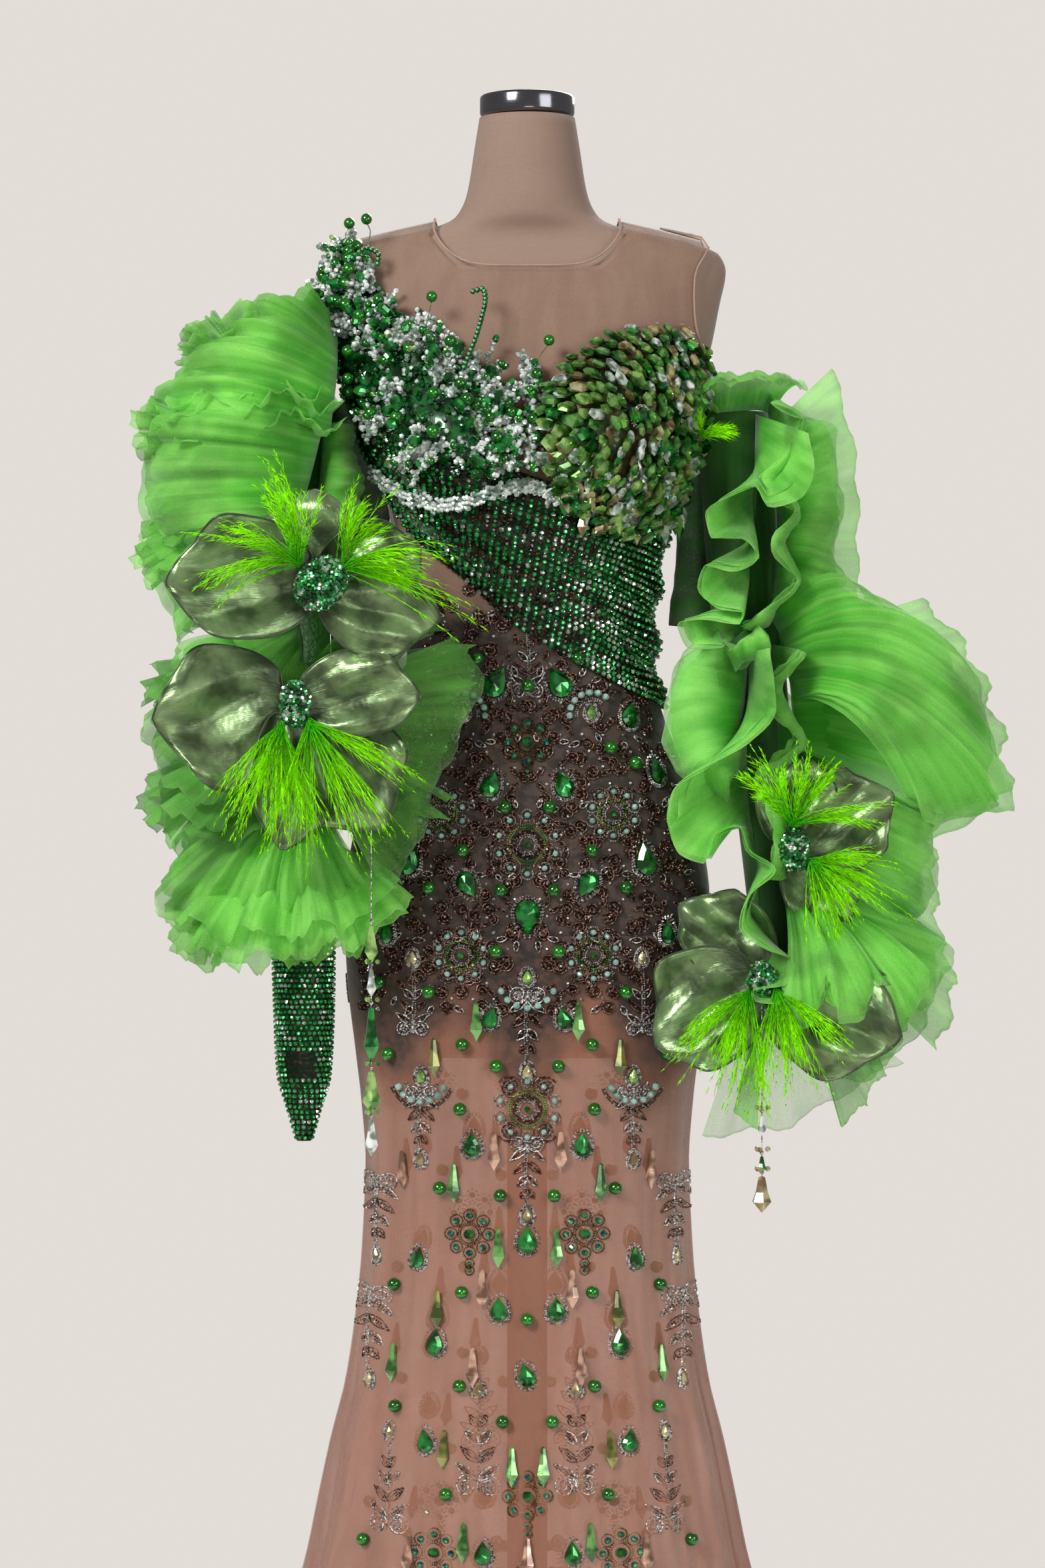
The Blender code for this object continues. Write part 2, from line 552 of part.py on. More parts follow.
def build_bead_pieces():
    """The bead spray over the right breast and shoulder, and the crystal cup over the left breast."""
    share = np.linspace(0, 1, 12)
    stations = np.linspace(0, 1, len(SPRAY))
    columns = [[(s, row[k]) for s, row in zip(stations, SPRAY)] for k in range(4)]
    x, z, half, thick = (eased(column, 1, share) for column in columns)
    along = unit(np.stack([np.gradient(x), np.gradient(z)], axis=-1))
    across = np.linspace(-1, 1, 7)
    px = x[:, None] + across[None, :] * half[:, None] * along[:, 1:2]
    pz = z[:, None] - across[None, :] * half[:, None] * along[:, 0:1]
    angles = front_angle(px, pz)
    seat = bead_seat(angles, pz, 0)
    edge = (1 - np.abs(across[None, :]) ** 3) * (1 - np.abs(2 * share[:, None] - 1) ** 8)
    raised = 3 + thick[:, None] * (0.35 + 0.65 * lumps(12, 7, 0.3)) * edge
    add_wall("bead_spray", skin(angles, pz, seat), skin(angles, pz, seat + raised), "clear_beads")
    u, w = np.meshgrid(np.linspace(-1, 1, 9), np.linspace(-1, 1, 9), indexing="ij")
    disc_u, disc_w = u * np.sqrt(1 - w**2 / 2), w * np.sqrt(1 - u**2 / 2)
    angles = CUP_ANGLE + CUP_HALF_ANGLE * disc_u
    heights = CUP_HEIGHT + CUP_HALF_HEIGHT * disc_w
    edge = np.clip(1 - (disc_u**2 + disc_w**2), 0, 1) ** 0.5
    raised = 3 + CUP_THICKNESS * (0.45 + 0.55 * lumps(9, 9, 1.7)) * edge
    seat = bead_seat(angles, heights, SASH_FOLD_DEPTH)
    add_wall("crystal_cup", skin(angles, heights, seat), skin(angles, heights, seat + raised), "green_crystal")
    settle("bead_spray", INWARD, ["bodice_front", "sash_front"])
    settle("crystal_cup", INWARD, ["bodice_front", "sash_front"])


def tube_at(table, z):
    """Centre and half sizes of a sleeve tube at height z."""
    x, y, width, depth = (eased(table, k, z) for k in range(1, 5))
    return x, y, width, depth


def tube_point(table, z, degrees, out):
    """A point beside a sleeve tube at an azimuth, out from its surface."""
    x, y, width, depth = tube_at(table, z)
    angle = np.radians(degrees)
    return np.stack(
        np.broadcast_arrays(x + (width + out) * np.cos(angle), y + (depth + out) * np.sin(angle), z), axis=-1
    )


def solid_of(names):
    """One search tree of the named objects, with their corners, points along their edges and face middles."""
    corners, faces, marks = [], [], []
    for name in names:
        mesh = bpy.data.objects[name].data
        here = np.array([v.co for v in mesh.vertices]) / MM
        faces += [tuple(len(corners) + k for k in face.vertices) for face in mesh.polygons]
        corners += list(here)
        ends = here[np.array([edge.vertices[:] for edge in mesh.edges])]
        marks += list(here)
        for share in (1 / 7, 2 / 7, 3 / 7, 4 / 7, 5 / 7, 6 / 7):
            marks += list(ends[:, 0] + (ends[:, 1] - ends[:, 0]) * share)
        marks += [here[list(face.vertices)].mean(axis=0) for face in mesh.polygons]
    return BVHTree.FromPolygons([Vector(c) for c in corners], faces), np.array(marks)


def settle(name, heading, carriers):
    """Moves a piece along a heading until its nearest point is the seat's gap from what carries it."""
    tree, marks = solid_of([name])
    other_tree, other_marks = solid_of(carriers)
    shift = np.zeros(3)
    for _ in range(14):
        gap = min(other_tree.find_nearest(Vector(mark + shift))[3] for mark in marks)
        gap = min(gap, min(tree.find_nearest(Vector(mark - shift))[3] for mark in other_marks))
        if gap < SEAT + 0.05:
            break
        shift = shift + heading * (gap - SEAT)
    for vert in bpy.data.objects[name].data.vertices:
        vert.co += Vector(shift * MM)


def build_tube(name, table, heights, sides=12):
    """A sleeve's inner tube, open at both ends."""
    angles = (np.arange(sides) * 360.0 / sides)[None, :]
    z = np.array(heights, float)[:, None]
    add_wall(name, tube_point(table, z, angles, -CHAIN_WALL), tube_point(table, z, angles, 0), "chain_mesh",
             round_it=True)


def build_tiers():
    """The right sleeve: a long chain-mesh sleeve that ends in a point, under six tiers of tulle."""
    build_tube("chain_sleeve_right", RIGHT_TUBE, (608, 645, 690, 770, 884, 968, 1048, 1190, 1262, 1325, 1368))
    for number, tier in enumerate(RIGHT_TIERS, 1):
        rows = tier["rows"]
        columns = 4 * tier["waves"] + 1
        azimuth = np.linspace(rows[0][0], rows[-1][0], columns)[None, :]
        v = np.array([0, 0.36, 0.7, 1])[:, None]
        reach, elevation, droop = (eased(rows, k, azimuth) for k in range(1, 4))
        turn = 2 * math.pi * tier["waves"] * (azimuth - rows[0][0]) / (rows[-1][0] - rows[0][0])
        level = np.stack([np.cos(np.radians(azimuth)), np.sin(np.radians(azimuth)), 0 * azimuth], axis=-1)
        tilt = np.radians(elevation)[..., None]
        heading = np.cos(tilt) * level + np.sin(tilt) * UP
        upright = np.cos(tilt) * UP - np.sin(tilt) * level
        root = tube_point(RIGHT_TUBE, tier["z"] + 0 * azimuth, azimuth, TIER_STARTS[number - 1])
        wave = tier["depth"] * v * np.sin(turn + tier["phase"])
        grid = root + heading * (reach * v)[..., None] + upright * wave[..., None]
        grid[..., 2] -= droop * v**2
        add_sheet(f"tulle_tier_right_{number}", grid, TULLE_WALL, "tulle")


def build_pages():
    """The left sleeve: a short tube from the underarm with ten lengths of gathered tulle along it."""
    build_tube("sleeve_band_left", LEFT_TUBE, (720, 800, 900, 1000, 1100, 1200, 1290))
    for page in LEFT_PAGES:
        rows = page["rows"]
        columns = int(4 * page["waves"]) + 7
        u = np.linspace(0, 1, columns)[None, :]
        v = np.array([0, 0.36, 0.7, 1])[:, None]
        reach, elevation, droop = (eased(rows, k, u) for k in range(1, 4))
        azimuth = math.radians(page["azimuth"])
        level = np.array([math.cos(azimuth), math.sin(azimuth), 0])
        sideways = np.array([-math.sin(azimuth), math.cos(azimuth), 0])
        root = tube_point(LEFT_TUBE, page["top"] + (page["foot"] - page["top"]) * u, page["azimuth"], PAGE_START)
        tilt = np.radians(elevation)[..., None]
        heading = np.cos(tilt) * level + np.sin(tilt) * UP
        wave = page["depth"] * v**1.3 * np.sin(2 * math.pi * page["waves"] * u + page["phase"])
        grid = root + heading * (reach * v)[..., None] + wave[..., None] * sideways
        grid[..., 2] -= droop * v**2
        name = "tulle_page_left_" + page["name"]
        add_sheet(name, grid, TULLE_WALL, "tulle")
        settle(name, -level, ["sleeve_band_left"])


def seat_on_cloth(head, away, right):
    """Where a stem that runs back from a flower's head meets the sleeve: the nearest cloth behind its whole end."""
    nearest = 1e9
    for obj in bpy.data.objects:
        if not obj.name.startswith(("tulle_", "chain_sleeve", "sleeve_band")):
            continue
        corners = [v.co for v in obj.data.vertices]
        tree = BVHTree.FromPolygons(corners, [tuple(p.vertices) for p in obj.data.polygons])
        for radius in (0, 0.5, 1):
            for turn in range(12):
                edge = STEM_RADIUS * radius * (math.cos(turn * math.pi / 6) * right + math.sin(turn * math.pi / 6) * UP)
                _, _, _, distance = tree.ray_cast(Vector((head + edge) * MM), Vector(-away))
                if distance is not None:
                    nearest = min(nearest, distance / MM)
    return head - away * (nearest - STEM_SEAT)


def flower_frame(flower):
    """The head's centre, the stem's foot, the way out of the tube and the direction across the flower."""
    table = RIGHT_TUBE if flower["head"][0] < 0 else LEFT_TUBE
    head = np.array(flower["head"], float)
    x, y, _, _ = tube_at(table, head[2])
    away = unit(np.array([head[0] - x, head[1] - y, 0.0]))
    right = np.cross(UP, away)
    return head, seat_on_cloth(head, away, right), away, right


def build_petal(name, flower, row):
    """One satin petal in its layer round the stem: cupped, lifted at its end and tilted over its neighbour."""
    direction, length, half_width, layer, cup, lift, tilt = row
    head, _, away, right = flower_frame(flower)
    turn = math.radians(direction)
    forward = math.cos(turn) * right + math.sin(turn) * UP
    sideways = math.cos(turn) * UP - math.sin(turn) * right
    s = np.linspace(0, 1, 6)[:, None]
    q = np.linspace(-1, 1, 5)[None, :]
    width = half_width * np.sin(math.pi * (0.10 + 0.80 * s**0.9)) ** 0.75
    rounded = s * (1 - 0.10 * q**2 * s)
    height = lift * s**2 + cup * q**2 * s * (1.2 - s) + tilt * q * width * s + 2.5 * np.sin(4 * q + 6 * s) * s
    base = head - away * (FIRST_LAYER + LAYER_STEP * layer)
    start = STEM_RADIUS + 0.5
    grid = (
        base
        + forward * (start + length * rounded)[..., None]
        + sideways * (width * q)[..., None]
        + away * height[..., None]
    )
    add_sheet(name, grid, SATIN_WALL, "satin")


def build_core(flower):
    """The stem out of the sleeve and the flower's head of packed rhinestones, in one piece."""
    head, foot, away, right = flower_frame(flower)
    wide, deep, tall = flower["head_size"]
    length = float(np.dot(head - foot, away))
    lean = math.radians(flower["lean"])
    across = math.cos(lean) * right + math.sin(lean) * UP
    along = math.cos(lean) * UP - math.sin(lean) * right
    sides = 12
    angles = np.arange(sides) * 2 * math.pi / sides
    stations = [(0, STEM_RADIUS, STEM_RADIUS), (length - deep * 0.5, STEM_RADIUS, STEM_RADIUS)]
    stations += [(length + deep * (k - 0.4), wide * w, tall * w) for k, w in ((0, 0.8), (0.4, 1.0), (0.85, 0.78))]
    rings = []
    for number, (out, half_across, half_along) in enumerate(stations):
        bump = 1 + (number > 1) * 0.06 * np.sin(5 * angles + number)
        ring = foot + away * out + across * (half_across * bump * np.cos(angles))[:, None]
        rings.append(ring + along * (half_along * bump * np.sin(angles))[:, None])
    add_stack("flower_core_" + flower["name"], np.array(rings), "chain_mesh", smooth=False)


def build_tuft(name, flower, row):
    """A tuft of feather strands, each of three sides, drawn out of the faces of a small bound root."""
    across, up, direction, spread, length = row
    head, _, away, right = flower_frame(flower)
    wide, deep, tall = flower["head_size"]
    centre = head + right * across + UP * up
    turn = math.radians(direction)
    forward = math.cos(turn) * right + math.sin(turn) * UP
    sideways = math.cos(turn) * UP - math.sin(turn) * right
    centre = centre + forward * (TUFT_ROOT + 2.5) + away * (deep * 0.35)
    shape = bmesh.new()
    bmesh.ops.create_icosphere(shape, subdivisions=2, radius=TUFT_ROOT)
    facing = unit(forward + 0.45 * away)
    order = sorted(shape.faces, key=lambda f: -float(np.dot(facing, unit(f.calc_center_median()))))
    for number, face in enumerate(order[:TUFT_STRANDS]):
        normal = unit(np.array(face.calc_center_median()))
        side = float(np.dot(normal, sideways)) * 1.6
        turn_out = math.radians(spread) * side
        lean_out = float(np.dot(normal, away)) * 0.9 + 0.25
        heading = unit(forward * math.cos(turn_out) + sideways * math.sin(turn_out) + away * lean_out)
        reach = length * (0.72 + 0.28 * math.sin(5.1 * number + across))
        made = bmesh.ops.inset_individual(shape, faces=[face], thickness=0.35)
        top = face
        previous = np.zeros(3)
        for share, size in ((0.45, 0.85), (1.0, 0.25)):
            made = bmesh.ops.extrude_discrete_faces(shape, faces=[top])
            top = made["faces"][0]
            bend = -UP * 0.18 * reach * share**2
            place = heading * reach * share + bend
            middle = np.array(top.calc_center_median())
            for vert in top.verts:
                local = np.array(vert.co) - middle
                vert.co = middle + local * size + (place - previous)
            previous = place
    for vert in shape.verts:
        vert.co = (np.array(vert.co) + centre) * MM
    bmesh.ops.recalc_face_normals(shape, faces=shape.faces)
    mesh = bpy.data.meshes.new(name)
    shape.to_mesh(mesh)
    shape.free()
    add_object(name, mesh, "feather")
    settle(name, unit(head + away * deep * 0.2 - centre), ["flower_core_" + flower["name"]])


def build_flowers():
    """Four satin flowers with rhinestone heads and feather tufts."""
    for flower in FLOWERS:
        build_core(flower)
        for number, row in enumerate(flower["petals"], 1):
            build_petal(f"petal_{flower['name']}_{number}", flower, row)
        for number, row in enumerate(flower["tufts"], 1):
            build_tuft(f"feathers_{flower['name']}_{number}", flower, row)


def build_drops():
    """Strings of cut crystals that hang straight down from the sleeves."""
    for drop in DROPS:
        profile = [(THREAD_RADIUS, 0.0)]
        for depth, tall, radius in drop["beads"]:
            profile += [(THREAD_RADIUS, -depth), (radius * 0.8, -depth - tall * 0.35),
                        (radius, -depth - tall * 0.6), (THREAD_RADIUS, -depth - tall)]
        _, marks = solid_of([drop["carrier"]])
        near = marks[np.abs(marks[:, 0] - drop["x"]) < 5]
        rings = turned(profile, 6, near[np.argmin(near[:, 2])] - UP)
        name = "crystal_drop_" + drop["name"]
        add_stack(name, rings, "green_crystal", smooth=False)
        settle(name, UP, [drop["carrier"]])


def main():
    for obj in list(bpy.data.objects):
        bpy.data.objects.remove(obj)
    build_form()
    build_bodice()
    build_skirt()
    build_sash()
    build_bead_pieces()
    build_tiers()
    build_pages()
    build_flowers()
    build_drops()


main()
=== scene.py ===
"""Looks of a beaded mermaid evening dress on a linen dress form.

Tables hold millimetres in the model's frame: +X the wearer's left, the front faces -Y, +Z up.
Meshes are made in metres.
"""

from __future__ import annotations

import json
import logging
import math
from dataclasses import dataclass
from enum import Enum
from typing import Callable, Sequence

import bpy
import numpy as np
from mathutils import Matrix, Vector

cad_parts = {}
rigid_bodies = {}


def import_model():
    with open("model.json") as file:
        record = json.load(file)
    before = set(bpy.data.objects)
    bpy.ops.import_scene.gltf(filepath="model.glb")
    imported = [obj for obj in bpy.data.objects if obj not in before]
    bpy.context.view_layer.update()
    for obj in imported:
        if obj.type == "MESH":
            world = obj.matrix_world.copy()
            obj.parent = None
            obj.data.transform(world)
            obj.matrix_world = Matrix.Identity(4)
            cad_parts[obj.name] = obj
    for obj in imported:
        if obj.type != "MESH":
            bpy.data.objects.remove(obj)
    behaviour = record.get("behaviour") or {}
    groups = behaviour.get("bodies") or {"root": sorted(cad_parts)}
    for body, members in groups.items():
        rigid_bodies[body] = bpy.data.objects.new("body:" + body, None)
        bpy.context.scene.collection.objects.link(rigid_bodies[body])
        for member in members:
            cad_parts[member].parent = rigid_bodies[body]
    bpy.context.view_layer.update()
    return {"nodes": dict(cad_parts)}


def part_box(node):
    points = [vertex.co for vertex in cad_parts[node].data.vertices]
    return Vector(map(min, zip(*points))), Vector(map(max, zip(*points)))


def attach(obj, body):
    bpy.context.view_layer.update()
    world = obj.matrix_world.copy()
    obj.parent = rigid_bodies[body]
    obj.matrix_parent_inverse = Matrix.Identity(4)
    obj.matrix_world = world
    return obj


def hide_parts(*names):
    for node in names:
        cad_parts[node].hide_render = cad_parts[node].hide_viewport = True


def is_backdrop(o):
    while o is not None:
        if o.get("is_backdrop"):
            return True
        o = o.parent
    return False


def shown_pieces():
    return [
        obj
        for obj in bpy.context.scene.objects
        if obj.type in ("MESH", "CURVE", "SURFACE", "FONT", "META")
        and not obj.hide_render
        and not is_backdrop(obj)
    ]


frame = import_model()
LOG = logging.getLogger("dress")

MM = 0.001
UP = np.array([0.0, 0.0, 1.0])
GOLDEN = 0.618034
GOLDEN_TURN = math.pi * (1 + 5**0.5)
TULLE_WALL, SKIRT_WALL, TUBE_WALL, PETAL_WALL = 0.5, 1.0, 1.4, 1.4
Array = np.ndarray
Piece = bpy.types.Object


def eased(rows: Sequence[Sequence[float]], column: int, at: Array | float) -> Array:
    """Reads a table's column at values of its first column, as a monotone cubic.

    Args:
        rows: The table, in rising order of its first column.
        column: The column to read.
        at: Values of the first column.

    Returns:
        The column's values there.
    """
    x = np.array([row[0] for row in rows], float)
    y = np.array([row[column] for row in rows], float)
    step = np.diff(x)
    slope = np.diff(y) / step
    tangent = np.zeros(len(x))
    same_way = slope[:-1] * slope[1:] > 0
    before, after = slope[:-1][same_way], slope[1:][same_way]
    tangent[1:-1][same_way] = 2 * before * after / (before + after)
    tangent[0], tangent[-1] = slope[0], slope[-1]
    at = np.clip(np.asarray(at, float), x[0], x[-1])
    k = np.clip(np.searchsorted(x, at, side="right") - 1, 0, len(step) - 1)
    t = (at - x[k]) / step[k]
    return (
        y[k] * (2 * t**3 - 3 * t**2 + 1)
        + tangent[k] * step[k] * (t**3 - 2 * t**2 + t)
        + y[k + 1] * (3 * t**2 - 2 * t**3)
        + tangent[k + 1] * step[k] * (t**3 - t**2)
    )


def unit(vectors: Array) -> Array:
    """Vectors scaled to length 1."""
    vectors = np.asarray(vectors, float)
    return vectors / np.maximum(np.linalg.norm(vectors, axis=-1, keepdims=True), 1e-9)


def on_path(path: Array, run: Array, at: Array) -> Array:
    """Points on a path whose corners lie at the distances run."""
    return np.stack([np.interp(at, run, path[:, k]) for k in range(path.shape[1])], axis=-1)


def resampled(path: Array, pitch: float) -> Array:
    """Points an even pitch apart along a path."""
    run = np.concatenate([[0.0], np.cumsum(np.linalg.norm(np.diff(path, axis=0), axis=1))])
    return on_path(path, run, np.linspace(0, run[-1], max(2, int(round(run[-1] / pitch)) + 1)))


def tint(red: int, green: int, blue: int) -> tuple[float, float, float, float]:
    """A shader colour from a swatch of 0 to 255."""
    shares = (red / 255, green / 255, blue / 255)
    linear = [c / 12.92 if c <= 0.04045 else ((c + 0.055) / 1.055) ** 2.4 for c in shares]
    return linear[0], linear[1], linear[2], 1.0


def dimmed(colour: Sequence[float], share: float) -> tuple[float, float, float, float]:
    """A shader colour with only a share of its light."""
    return share * colour[0], share * colour[1], share * colour[2], 1.0


# Shader maths and finishes


class Expression:
    """A shader value that Python's operators extend with Math nodes."""

    def __init__(self, bench: "Bench", socket: bpy.types.NodeSocket) -> None:
        """Wraps an output socket of a bench's tree."""
        self.bench, self.socket = bench, socket

    def __add__(self, other: "Expression | float") -> "Expression":
        """The sum."""
        return self.bench.math("ADD", self, other)

    def __sub__(self, other: "Expression | float") -> "Expression":
        """The difference."""
        return self.bench.math("SUBTRACT", self, other)

    def __rsub__(self, other: float) -> "Expression":
        """The difference from a number."""
        return self.bench.math("SUBTRACT", other, self)

    def __mul__(self, other: "Expression | float") -> "Expression":
        """The product."""
        return self.bench.math("MULTIPLY", self, other)

    __radd__ = __add__
    __rmul__ = __mul__


class Bench:
    """Makes the nodes of one material."""

    def __init__(self, name: str) -> None:
        """Starts a material with a plain surface shader."""
        self.material = bpy.data.materials.new(name)
        self.material.use_nodes = True
        self.tree = self.material.node_tree
        self.shader = self.tree.nodes["Principled BSDF"]

    def feed(self, socket: bpy.types.NodeSocket, value: object) -> None:
        """Gives an input socket a value or a link."""
        if isinstance(value, Expression):
            value = value.socket
        if isinstance(value, bpy.types.NodeSocket):
            self.tree.links.new(value, socket)
        else:
            socket.default_value = value

    def node(self, kind: str, settings: dict | None = None, values: dict | None = None,
             out: int | str = 0) -> Expression:
        """Adds a node.

        Args:
            kind: The node's type.
            settings: Its settings, set first; stops are a ramp's places and colours.
            values: Values or links of its sockets.
            out: The output that is wanted.

        Returns:
            That output.
        """
        made = self.tree.nodes.new(kind)
        for key, value in (settings or {}).items():
            if key == "stops":
                for number, (place, colour) in enumerate(value):
                    stops = made.color_ramp.elements
                    stop = stops[number] if number < len(stops) else stops.new(place)
                    stop.position, stop.color = place, colour
            else:
                setattr(made, key, value)
        for key, value in (values or {}).items():
            self.feed(made.inputs[key], value)
        return Expression(self, made.outputs[out])

    def math(self, operation: str, first: Expression | float, second: Expression | float = 0.0,
             clamp: bool = False) -> Expression:
        """One step of arithmetic."""
        return self.node("ShaderNodeMath", {"operation": operation, "use_clamp": clamp},
                         {0: first, 1: second})

    def between(self, value: Expression, low: float, high: float) -> Expression:
        """A smooth step from 0 at low to 1 at high."""
        return self.node("ShaderNodeMapRange", {"interpolation_type": "SMOOTHSTEP"},
                         {"Value": value, "From Min": low, "From Max": high})

    def mix(self, share: Expression | float, first: object, second: object) -> Expression:
        """A colour between two."""
        return self.node("ShaderNodeMix", {"data_type": "RGBA"}, {0: share, 6: first, 7: second}, out=2)

    def place(self, source: str = "Object", scale: Sequence[float] = (1, 1, 1)) -> Expression:
        """Coordinates of the piece, stretched."""
        at = self.node("ShaderNodeTexCoord", out=source)
        return self.node("ShaderNodeMapping", None, {"Vector": at, "Scale": tuple(scale)})

    def axes(self, source: str = "Object") -> list[Expression]:
        """The three coordinates as numbers."""
        parts = self.node("ShaderNodeSeparateXYZ", None, {0: self.place(source)})
        return [Expression(self, parts.socket.node.outputs[k]) for k in range(3)]

    def noise(self, at: Expression, scale: float, detail: float = 2.0) -> Expression:
        """Soft mottling from 0 to 1."""
        return self.node("ShaderNodeTexNoise", None, {"Vector": at, "Scale": scale, "Detail": detail},
                         out="Fac")

    def bump(self, height: Expression, strength: float, distance: float = 0.001) -> Expression:
        """A surface normal raised by a height."""
        values = {"Height": height, "Strength": strength, "Distance": distance}
        return self.node("ShaderNodeBump", None, values)

    def surface(self, **sockets: object) -> None:
        """Sets the shader's sockets, with underscores for spaces."""
        for key, value in sockets.items():
            self.feed(self.shader.inputs[key.replace("_", " ")], value)

    def glow_through(self, colour: object, share: float) -> None:
        """Lets light through the cloth: a share of it comes from behind."""
        output = self.tree.nodes["Material Output"]
        back = self.node("ShaderNodeBsdfTranslucent", None, {"Color": colour})
        clear = self.node("ShaderNodeBsdfTransparent")
        alpha = self.shader.inputs["Alpha"]
        veil = self.node("ShaderNodeMixShader", None, {
            0: alpha.links[0].from_socket if alpha.links else alpha.default_value, 1: clear, 2: back})
        self.node("ShaderNodeMixShader", None, {0: share, 1: self.shader.outputs[0], 2: veil})
        self.tree.links.new(self.tree.nodes[-1].outputs[0], output.inputs["Surface"])


@dataclass(frozen=True)
class Finish:
    """A finish of cloth, stone or metal, made once."""

    name: str
    slot: str

    def material(self) -> bpy.types.Material:
        """The finish's material."""
        known = bpy.data.materials.get(self.name)
        if known is None:
            bench = Bench(self.name)
            self.nodes(bench)
            known = bench.material
        return known

    def nodes(self, bench: Bench) -> None:
        """Makes the finish's nodes."""
        raise NotImplementedError


@dataclass(frozen=True)
class Linen(Finish):
    """Woven linen stretched over a padded form."""

    thread: float = 0.0015
    colour: tuple = tint(160, 135, 119)
    shade: tuple = tint(128, 104, 90)

    def nodes(self, bench: Bench) -> None:
        """Plain weave with slubs and seams down the sides."""
        x, y, z = bench.axes()
        turn = 2 * math.pi / self.thread
        weave = bench.math("SINE", (x + y) * turn) * bench.math("SINE", z * turn)
        slub = bench.noise(bench.place(scale=(1, 1, 14)), 90) * 0.6
        slub = slub + bench.noise(bench.place(scale=(14, 14, 1)), 60) * 0.4
        cloud = bench.noise(bench.place(), 7, 4)
        seam = bench.between(bench.math("ABSOLUTE", y), 0.0005, 0.0016)
        tone = bench.math("ADD", slub * 0.55 + cloud * 0.5, weave * 0.06, clamp=True)
        bench.surface(Base_Color=bench.mix(tone * seam, self.shade, self.colour), Roughness=0.92,
                      Sheen_Weight=0.25, Normal=bench.bump(weave * 0.5 + slub + seam * 1.5, 0.35, 0.0006))


@dataclass(frozen=True)
class Metal(Finish):
    """Polished or painted metal."""

    colour: tuple = tint(205, 205, 210)
    roughness: float = 0.1
    metallic: float = 1.0

    def nodes(self, bench: Bench) -> None:
        """Faint wipe marks in the polish."""
        marks = bench.noise(bench.place(scale=(1, 1, 8)), 40, 4)
        bench.surface(Base_Color=bench.mix(marks * 0.3, self.colour, dimmed(self.colour, 0.7)),
                      Metallic=self.metallic, Roughness=marks * 0.12 + self.roughness,
                      Normal=bench.bump(marks, 0.04))


@dataclass(frozen=True)
class NudeMesh(Finish):
    """Sheer skin-coloured mesh, closer where it is embroidered."""

    sheer: float = 0.3
    worked: float = 0.0
    colour: tuple = tint(166, 134, 114)
    thread: tuple = tint(22, 13, 8)

    def nodes(self, bench: Bench) -> None:
        """A fine net with drag lines, and darker thread-work between the sash and the thighs."""
        x, _, z = bench.axes()
        net = bench.node("ShaderNodeTexVoronoi", {"feature": "DISTANCE_TO_EDGE"},
                         {"Vector": bench.place(), "Scale": 760.0})
        drag = bench.noise(bench.place(scale=(2, 2, 9)), 16, 4)
        cloud = bench.noise(bench.place(), 26, 5)
        fall = bench.noise(bench.place(scale=(1, 1, 0.04)), 60, 3)
        below = 1 - bench.between(z, 0.60, 0.74)
        edge = z + cloud * 0.08
        lobes = bench.math("COSINE", x * 52.0) * 0.036
        work = bench.between(edge + lobes, 0.69, 0.78) * (1 - bench.between(edge, 1.13, 1.17)) * self.worked
        curls = bench.between(bench.noise(bench.place(), 95, 3), 0.42, 0.58) * work
        alpha = net * -0.5 + (self.sheer + 0.1) + drag * 0.08 + work * 0.56 + (fall - 0.6) * below * 0.4
        dark = curls * 0.1 + work * (fall * 0.2 + 0.76)
        skin = bench.mix(bench.between(fall, 0.3, 0.7) * 0.4, self.colour, tint(142, 104, 86))
        bench.surface(Base_Color=bench.mix(dark, skin, self.thread), Roughness=0.8, Sheen_Weight=0.3,
                      Alpha=bench.math("ADD", alpha, 0.0, clamp=True),
                      Normal=bench.bump(drag + curls * 0.2 + fall * below * 0.5, 0.3, 0.002))


@dataclass(frozen=True)
class GreenTulle(Finish):
    """Layers of crisp dyed tulle, sheerer towards the raw edge."""

    # light and deep are the tulle's painted highlight and painted shade colours.
    light: tuple = tint(178, 252, 128)
    deep: tuple = tint(94, 206, 54)
    sheer: float = 0.46

    def nodes(self, bench: Bench) -> None:
        """Gathers that run from the root to the edge, with painted light and shade along them, painted shade
        at the root and in broad folds, a fine net and a crisp rim.
        """
        _, out, _ = bench.axes("UV")
        gathers = bench.noise(bench.place("UV", (70, 1.6, 1)), 1.0, 2)
        soft = bench.noise(bench.place("UV", (22, 1.5, 1)), 1.0, 2)
        net = bench.node("ShaderNodeTexVoronoi", {"feature": "DISTANCE_TO_EDGE"},
                         {"Vector": bench.place(), "Scale": 700.0})
        root = 1 - bench.between(out, 0.0, 0.55)
        rim = bench.between(out, 0.975, 0.99)
        # Painted light and shade: the gathers and soft folds go lighter and darker, and the colour darkens
        # towards the gathered root.
        tone = bench.between(gathers * 0.4 + soft * 0.6 - root * 0.2, 0.22, 0.66)
        # Painted shade: broad patches darken towards a third of the deep green, as shade in the folds.
        fall = bench.between(bench.noise(bench.place(), 15, 2), 0.36, 0.54) * 0.36 + 0.64
        colour = bench.mix(fall, dimmed(self.deep, 0.34), bench.mix(tone, self.deep, self.light))
        alpha = gathers * 0.22 + root * 0.3 + (self.sheer - 0.1) + rim * 0.12 - net * 0.4
        bench.surface(Base_Color=colour, Roughness=0.72, Sheen_Weight=0.4, Specular_IOR_Level=0.25,
                      Alpha=bench.math("ADD", alpha, 0.02, clamp=True),
                      Normal=bench.bump(gathers * 0.6 + soft, 0.4, 0.003))
        bench.glow_through(colour, 0.34)


